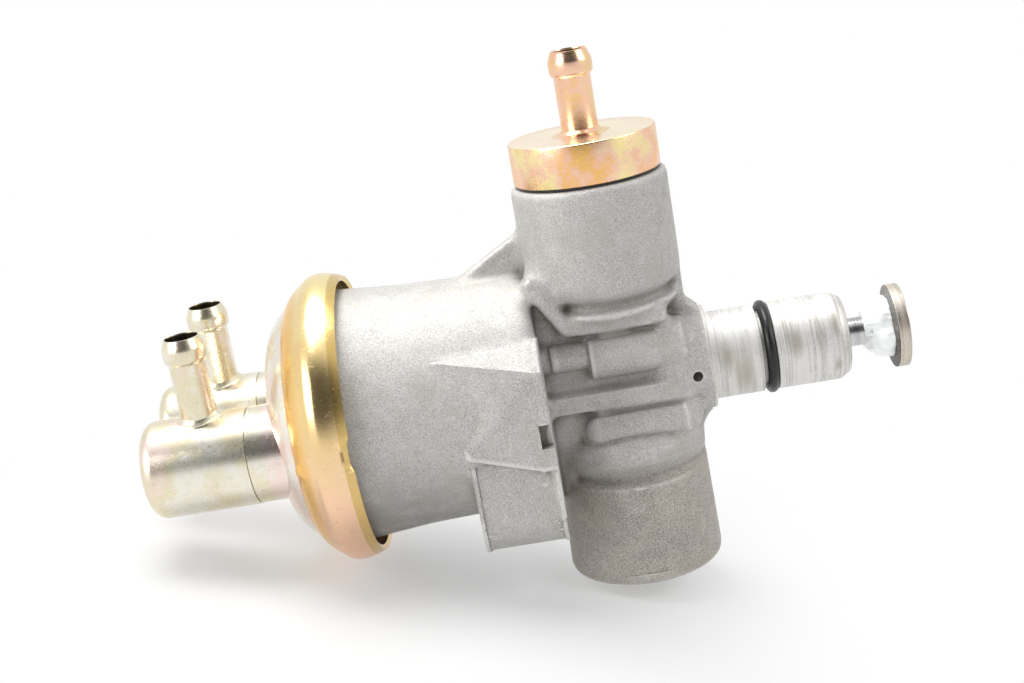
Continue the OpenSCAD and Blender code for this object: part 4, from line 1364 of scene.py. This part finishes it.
@dataclass
class PushRod:
    """The push rod's end: rod, assembly grease and the follower disc."""

    palette: Palette
    disc_x: float = 54.5
    disc_r: float = 12.4
    disc_t: float = 3.5
    rod_r: float = 4.25

    def disc(self) -> None:
        """The follower disc, with its turned rim."""
        x = self.disc_x
        turned = Shop.lathe(
            [(0, x), (self.disc_r, x), (self.disc_r, x + self.disc_t), (0, x + self.disc_t)],
            Axis.X, steps=112)
        Shop.soften(turned, 0.22, 2)
        made = Shop.object("disc", turned)
        Shop.dress(made, "push_rod_group", "steel", self.palette.get("disc"), ["follower_disc"], 18)

    def rod(self) -> None:
        """The rod itself."""
        bar = Shop.lathe(
            [(0, -7), (3.15, -7), (3.15, -0.97), (self.rod_r, -0.97), (self.rod_r, self.disc_x - 0.03),
             (0, self.disc_x - 0.03)], Axis.X, steps=64)
        Shop.soften(bar, 0.2, 1)
        made = Shop.object("rod", bar)
        Shop.dress(made, "push_rod_group", "steel", self.palette.get("steel"), ["push_rod"])

    def grease(self) -> None:
        """The smear of assembly grease between the rod and the disc."""
        lumps = [
            (-0.8, 1.6, -0.6, 7.6), (-1.2, 2.0, 3.4, 5.6), (-1.4, 0.6, -4.6, 5.2), (-3.2, 1.0, 1.4, 6.3),
            (-3.4, 0.6, -2.6, 5.7), (-5.6, 0.6, 0.4, 5.2), (-7.0, 0.0, 1.2, 4.7), (-1.0, -3.0, -2.0, 4.2),
            (-2.2, 2.4, 5.2, 4.2),
        ]
        parts = []
        for dx, y, z, r in lumps:
            ball = bmesh.new()
            bmesh.ops.create_icosphere(ball, subdivisions=3, radius=r * MM)
            bmesh.ops.translate(ball, vec=Vector((self.disc_x + dx, y, z)) * MM, verts=ball.verts[:])
            parts.append(ball)
        made = Shop.object("grease", Shop.join(parts))
        Shop.remesh(made, 0.3, 14)
        bm = bmesh.new()
        bm.from_mesh(made.data)
        low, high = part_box("assembly_grease")
        for v in bm.verts:
            folds = Vector((v.co.x * 0.35, v.co.y, v.co.z))
            wave = noise.noise(v.co * 240.0) * 0.7 + noise.noise(folds * 900.0) * 0.34
            v.co += v.normal * wave * MM
            v.co.x = min(v.co.x, self.disc_x * MM - 0.03 * MM)
            v.co = Vector(max(low[k], min(high[k], v.co[k])) for k in range(3))
        bm.to_mesh(made.data)
        bm.free()
        Shop.dress(made, "push_rod_group", "grease", self.palette.get("grease"), ["assembly_grease"], 80)

    def build(self) -> None:
        """Makes the rod, the grease and the disc."""
        self.rod()
        self.grease()
        self.disc()


@dataclass
class Springs:
    """The wound springs, each listed with the part that it bears on."""

    palette: Palette

    BEARS_ON = {
        "front_valve_spring": ("front_valve_disc", "front_disc", 0),
        "rear_valve_spring": ("rear_valve_disc", "rear_disc", 0),
        "top_valve_spring": ("top_valve_disc", "top_disc", 2),
        "bottom_valve_spring": ("bottom_valve_disc", "bottom_disc", 2),
        "return_spring": ("spring_collar", "push_rod_group", 0),
    }

    def build(self) -> None:
        """Makes each spring from a copy of its node, and logs the end that is held and the end that would move."""
        for node, (neighbour, body, axis) in self.BEARS_ON.items():
            made = Shop.object(f"{node}_wire", Shop.from_node(node))
            made.data.materials.append(self.palette.get("spring"))
            made.data.shade_smooth()
            made.data.set_sharp_from_angle(angle=math.radians(70))
            low, high = (Vector(corner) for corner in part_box(node))
            held, moved = (low + high) / 2, (low + high) / 2
            aside = sum(corner[axis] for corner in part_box(neighbour)) / 2
            first, last = (low, high) if aside > held[axis] else (high, low)
            held[axis], moved[axis] = first[axis], last[axis]
            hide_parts(node)
            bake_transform(made)
            LOG.info("piece %s: held at %.4f, moved at %.4f", made.name, held[axis], moved[axis])


@dataclass
class InnerParts:
    """The solids that stay as they are and get better finishes."""

    palette: Palette

    FINISHES = {
        "rubber": ("cap_seal", "push_rod_seal", "pull_rod_seal", "piston_ring"),
        "sheet_rubber": ("diaphragm", "front_valve_disc", "rear_valve_disc", "top_valve_disc",
                         "bottom_valve_disc"),
        "brass": ("front_valve_seat", "rear_valve_seat", "top_valve_seat", "bottom_valve_seat",
                  "front_valve_stem", "rear_valve_stem", "top_valve_stem", "bottom_valve_stem"),
        "spring": ("diaphragm_spring",),
        "bronze": ("guide_bush",),
        "steel": ("inner_plate", "outer_plate", "pull_rod_nut", "pull_rod", "piston", "piston_retainer",
                  "spring_seat", "spring_collar", "snap_ring"),
    }

    def build(self) -> None:
        """Gives each solid its finish."""
        for finish, names in self.FINISHES.items():
            material = self.palette.get(finish)
            for name in names:
                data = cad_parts[name].data
                data.materials.clear()
                data.materials.append(material)
                LOG.info("node %s: %s", name, finish)


@dataclass
class Studio:
    """White table, soft light and the camera."""

    stand: tuple[float, float, float] = (-0.0504, 0.0, -0.0600)
    normal: tuple[float, float, float] = (0.2612, 0.0, 0.9653)
    lens: float = 54.33
    eye: tuple[float, float, float] = (-0.0377488, -0.4446027, 0.1386374)

    def camera(self) -> None:
        """The camera at the picture's angle."""
        data = bpy.data.cameras.new("camera")
        data.lens = self.lens
        data.sensor_width = 36.0
        made = bpy.data.objects.new("camera", data)
        right = Vector((0.985764, -0.003436, -0.168100))
        up = Vector((0.162662, 0.272481, 0.948310))
        back = Vector((0.042548, -0.962154, 0.269161))
        turn = Matrix((right, up, back)).transposed().to_4x4()
        made.matrix_world = Matrix.Translation(self.eye) @ turn
        bpy.context.scene.collection.objects.link(made)
        bpy.context.scene.camera = made

    def floor(self) -> None:
        """The table: grey diffuse, blended for camera and glossy rays with a glowing white that grows away from the
        pump, a painted light that fades its shadow there.
        """
        bm = bmesh.new()
        bmesh.ops.create_grid(bm, x_segments=1, y_segments=1, size=3.0)
        turn = Vector((0, 0, 1)).rotation_difference(Vector(self.normal)).to_matrix().to_4x4()
        bmesh.ops.transform(bm, matrix=Matrix.Translation(self.stand) @ turn, verts=bm.verts[:])
        made = Shop.object("table", bm)
        material, g = new_graph("white_table")
        x, y, z = g.axes(g.place())
        # Painted light: camera and glossy rays see more glowing white away from the pump, which fades the table's
        # shadow there.
        away = ((x + 0.085) ** 2.0 + (y + 0.02) ** 2.0).root().step(0.05, 0.16)
        away = away.larger(x.step(-0.045, 0.032)).larger(y.step(-0.035, 0.035) * 0.55)
        ray = g.node("ShaderNodeLightPath", {}, {})
        seen = Socket(g, ray.outputs["Is Camera Ray"]).larger(Socket(g, ray.outputs["Is Glossy Ray"]))
        seen = seen.larger(Socket(g, ray.outputs["Is Transmission Ray"]))
        matt = g.node("ShaderNodeBsdfDiffuse", {}, {"Color": (0.78, 0.78, 0.775)})
        white = g.node("ShaderNodeEmission", {}, {"Color": (1.0, 1.0, 1.0), "Strength": 1.0})
        blend = g.node("ShaderNodeMixShader", {}, {0: seen * (0.31 + away * 0.69)})
        out = g.node("ShaderNodeOutputMaterial", {}, {})
        g.tree.links.new(matt.outputs[0], blend.inputs[1])
        g.tree.links.new(white.outputs[0], blend.inputs[2])
        g.tree.links.new(blend.outputs[0], out.inputs["Surface"])
        made.data.materials.append(material)

    def lamp(self, name: str, eye: tuple, aim: tuple, size: float, power: float) -> None:
        """A softbox.

        Args:
            name: the lamp's name.
            eye: where it hangs, in metres.
            aim: the point it faces.
            size: its side, in metres.
            power: in watts.
        """
        data = bpy.data.lights.new(name, "AREA")
        data.shape = "SQUARE"
        data.size = size
        data.energy = power
        made = bpy.data.objects.new(name, data)
        way = Vector(aim) - Vector(eye)
        turn = way.to_track_quat("-Z", "Y").to_matrix().to_4x4()
        made.matrix_world = Matrix.Translation(eye) @ turn
        bpy.context.scene.collection.objects.link(made)

    def world(self) -> None:
        """White all round, with the dark room in front that gives bright metal its streaks."""
        made = bpy.data.worlds.new("studio")
        made.use_nodes = True
        bpy.context.scene.world = made
        g = Graph(made.node_tree)
        way = g.add("ShaderNodeTexCoord", {}, {}, "Generated")
        x, y, z = g.axes(way)
        front = (y * -0.81 + z * 0.57 + x * x * 0.35).step(0.78, 0.95)
        room = 0.92 - front * 0.86
        ray = g.node("ShaderNodeLightPath", {}, {})
        glossy = Socket(g, ray.outputs["Is Glossy Ray"])
        seen = Socket(g, ray.outputs["Is Camera Ray"])
        soft = g.mix(glossy, (0.32, 0.32, 0.33), g.ramp(room, [(0.0, (0.02, 0.02, 0.02)), (1.0, (1.0, 1.0, 1.0))]))
        colour = g.mix(seen, soft, (1.0, 1.0, 1.0))
        back = g.node("ShaderNodeBackground", {}, {"Color": colour, "Strength": 1.0})
        out = g.node("ShaderNodeOutputWorld", {}, {})
        g.tree.links.new(back.outputs[0], out.inputs["Surface"])

    def build(self) -> None:
        """Sets up the studio."""
        self.camera()
        self.floor()
        self.lamp("overhead", (-0.14, 0.10, 0.66), (-0.05, 0, 0), 0.42, 4.4)
        self.lamp("left_box", (-0.70, -0.45, 0.40), (-0.06, 0, 0), 0.45, 3.2)
        self.lamp("right_box", (0.70, -0.25, 0.45), (0.0, 0, 0), 0.40, 1.9)
        self.world()
        view = bpy.context.scene.view_settings
        view.view_transform = "Standard"


def main() -> None:
    logging.basicConfig(level=logging.INFO, format="%(message)s")
    palette = Palette()
    Studio().build()
    for part in (
        Casting(palette),
        Nose(palette),
        Cover(palette),
        ValveCan(palette, "front", -18.0, -136.3),
        ValveCan(palette, "rear", 18.0, -138.3),
        TopCap(palette),
        PushRod(palette),
        Springs(palette),
        InnerParts(palette),
    ):
        part.build()
        LOG.info("%s is built", type(part).__name__)


if __name__ == "__main__":
    main()
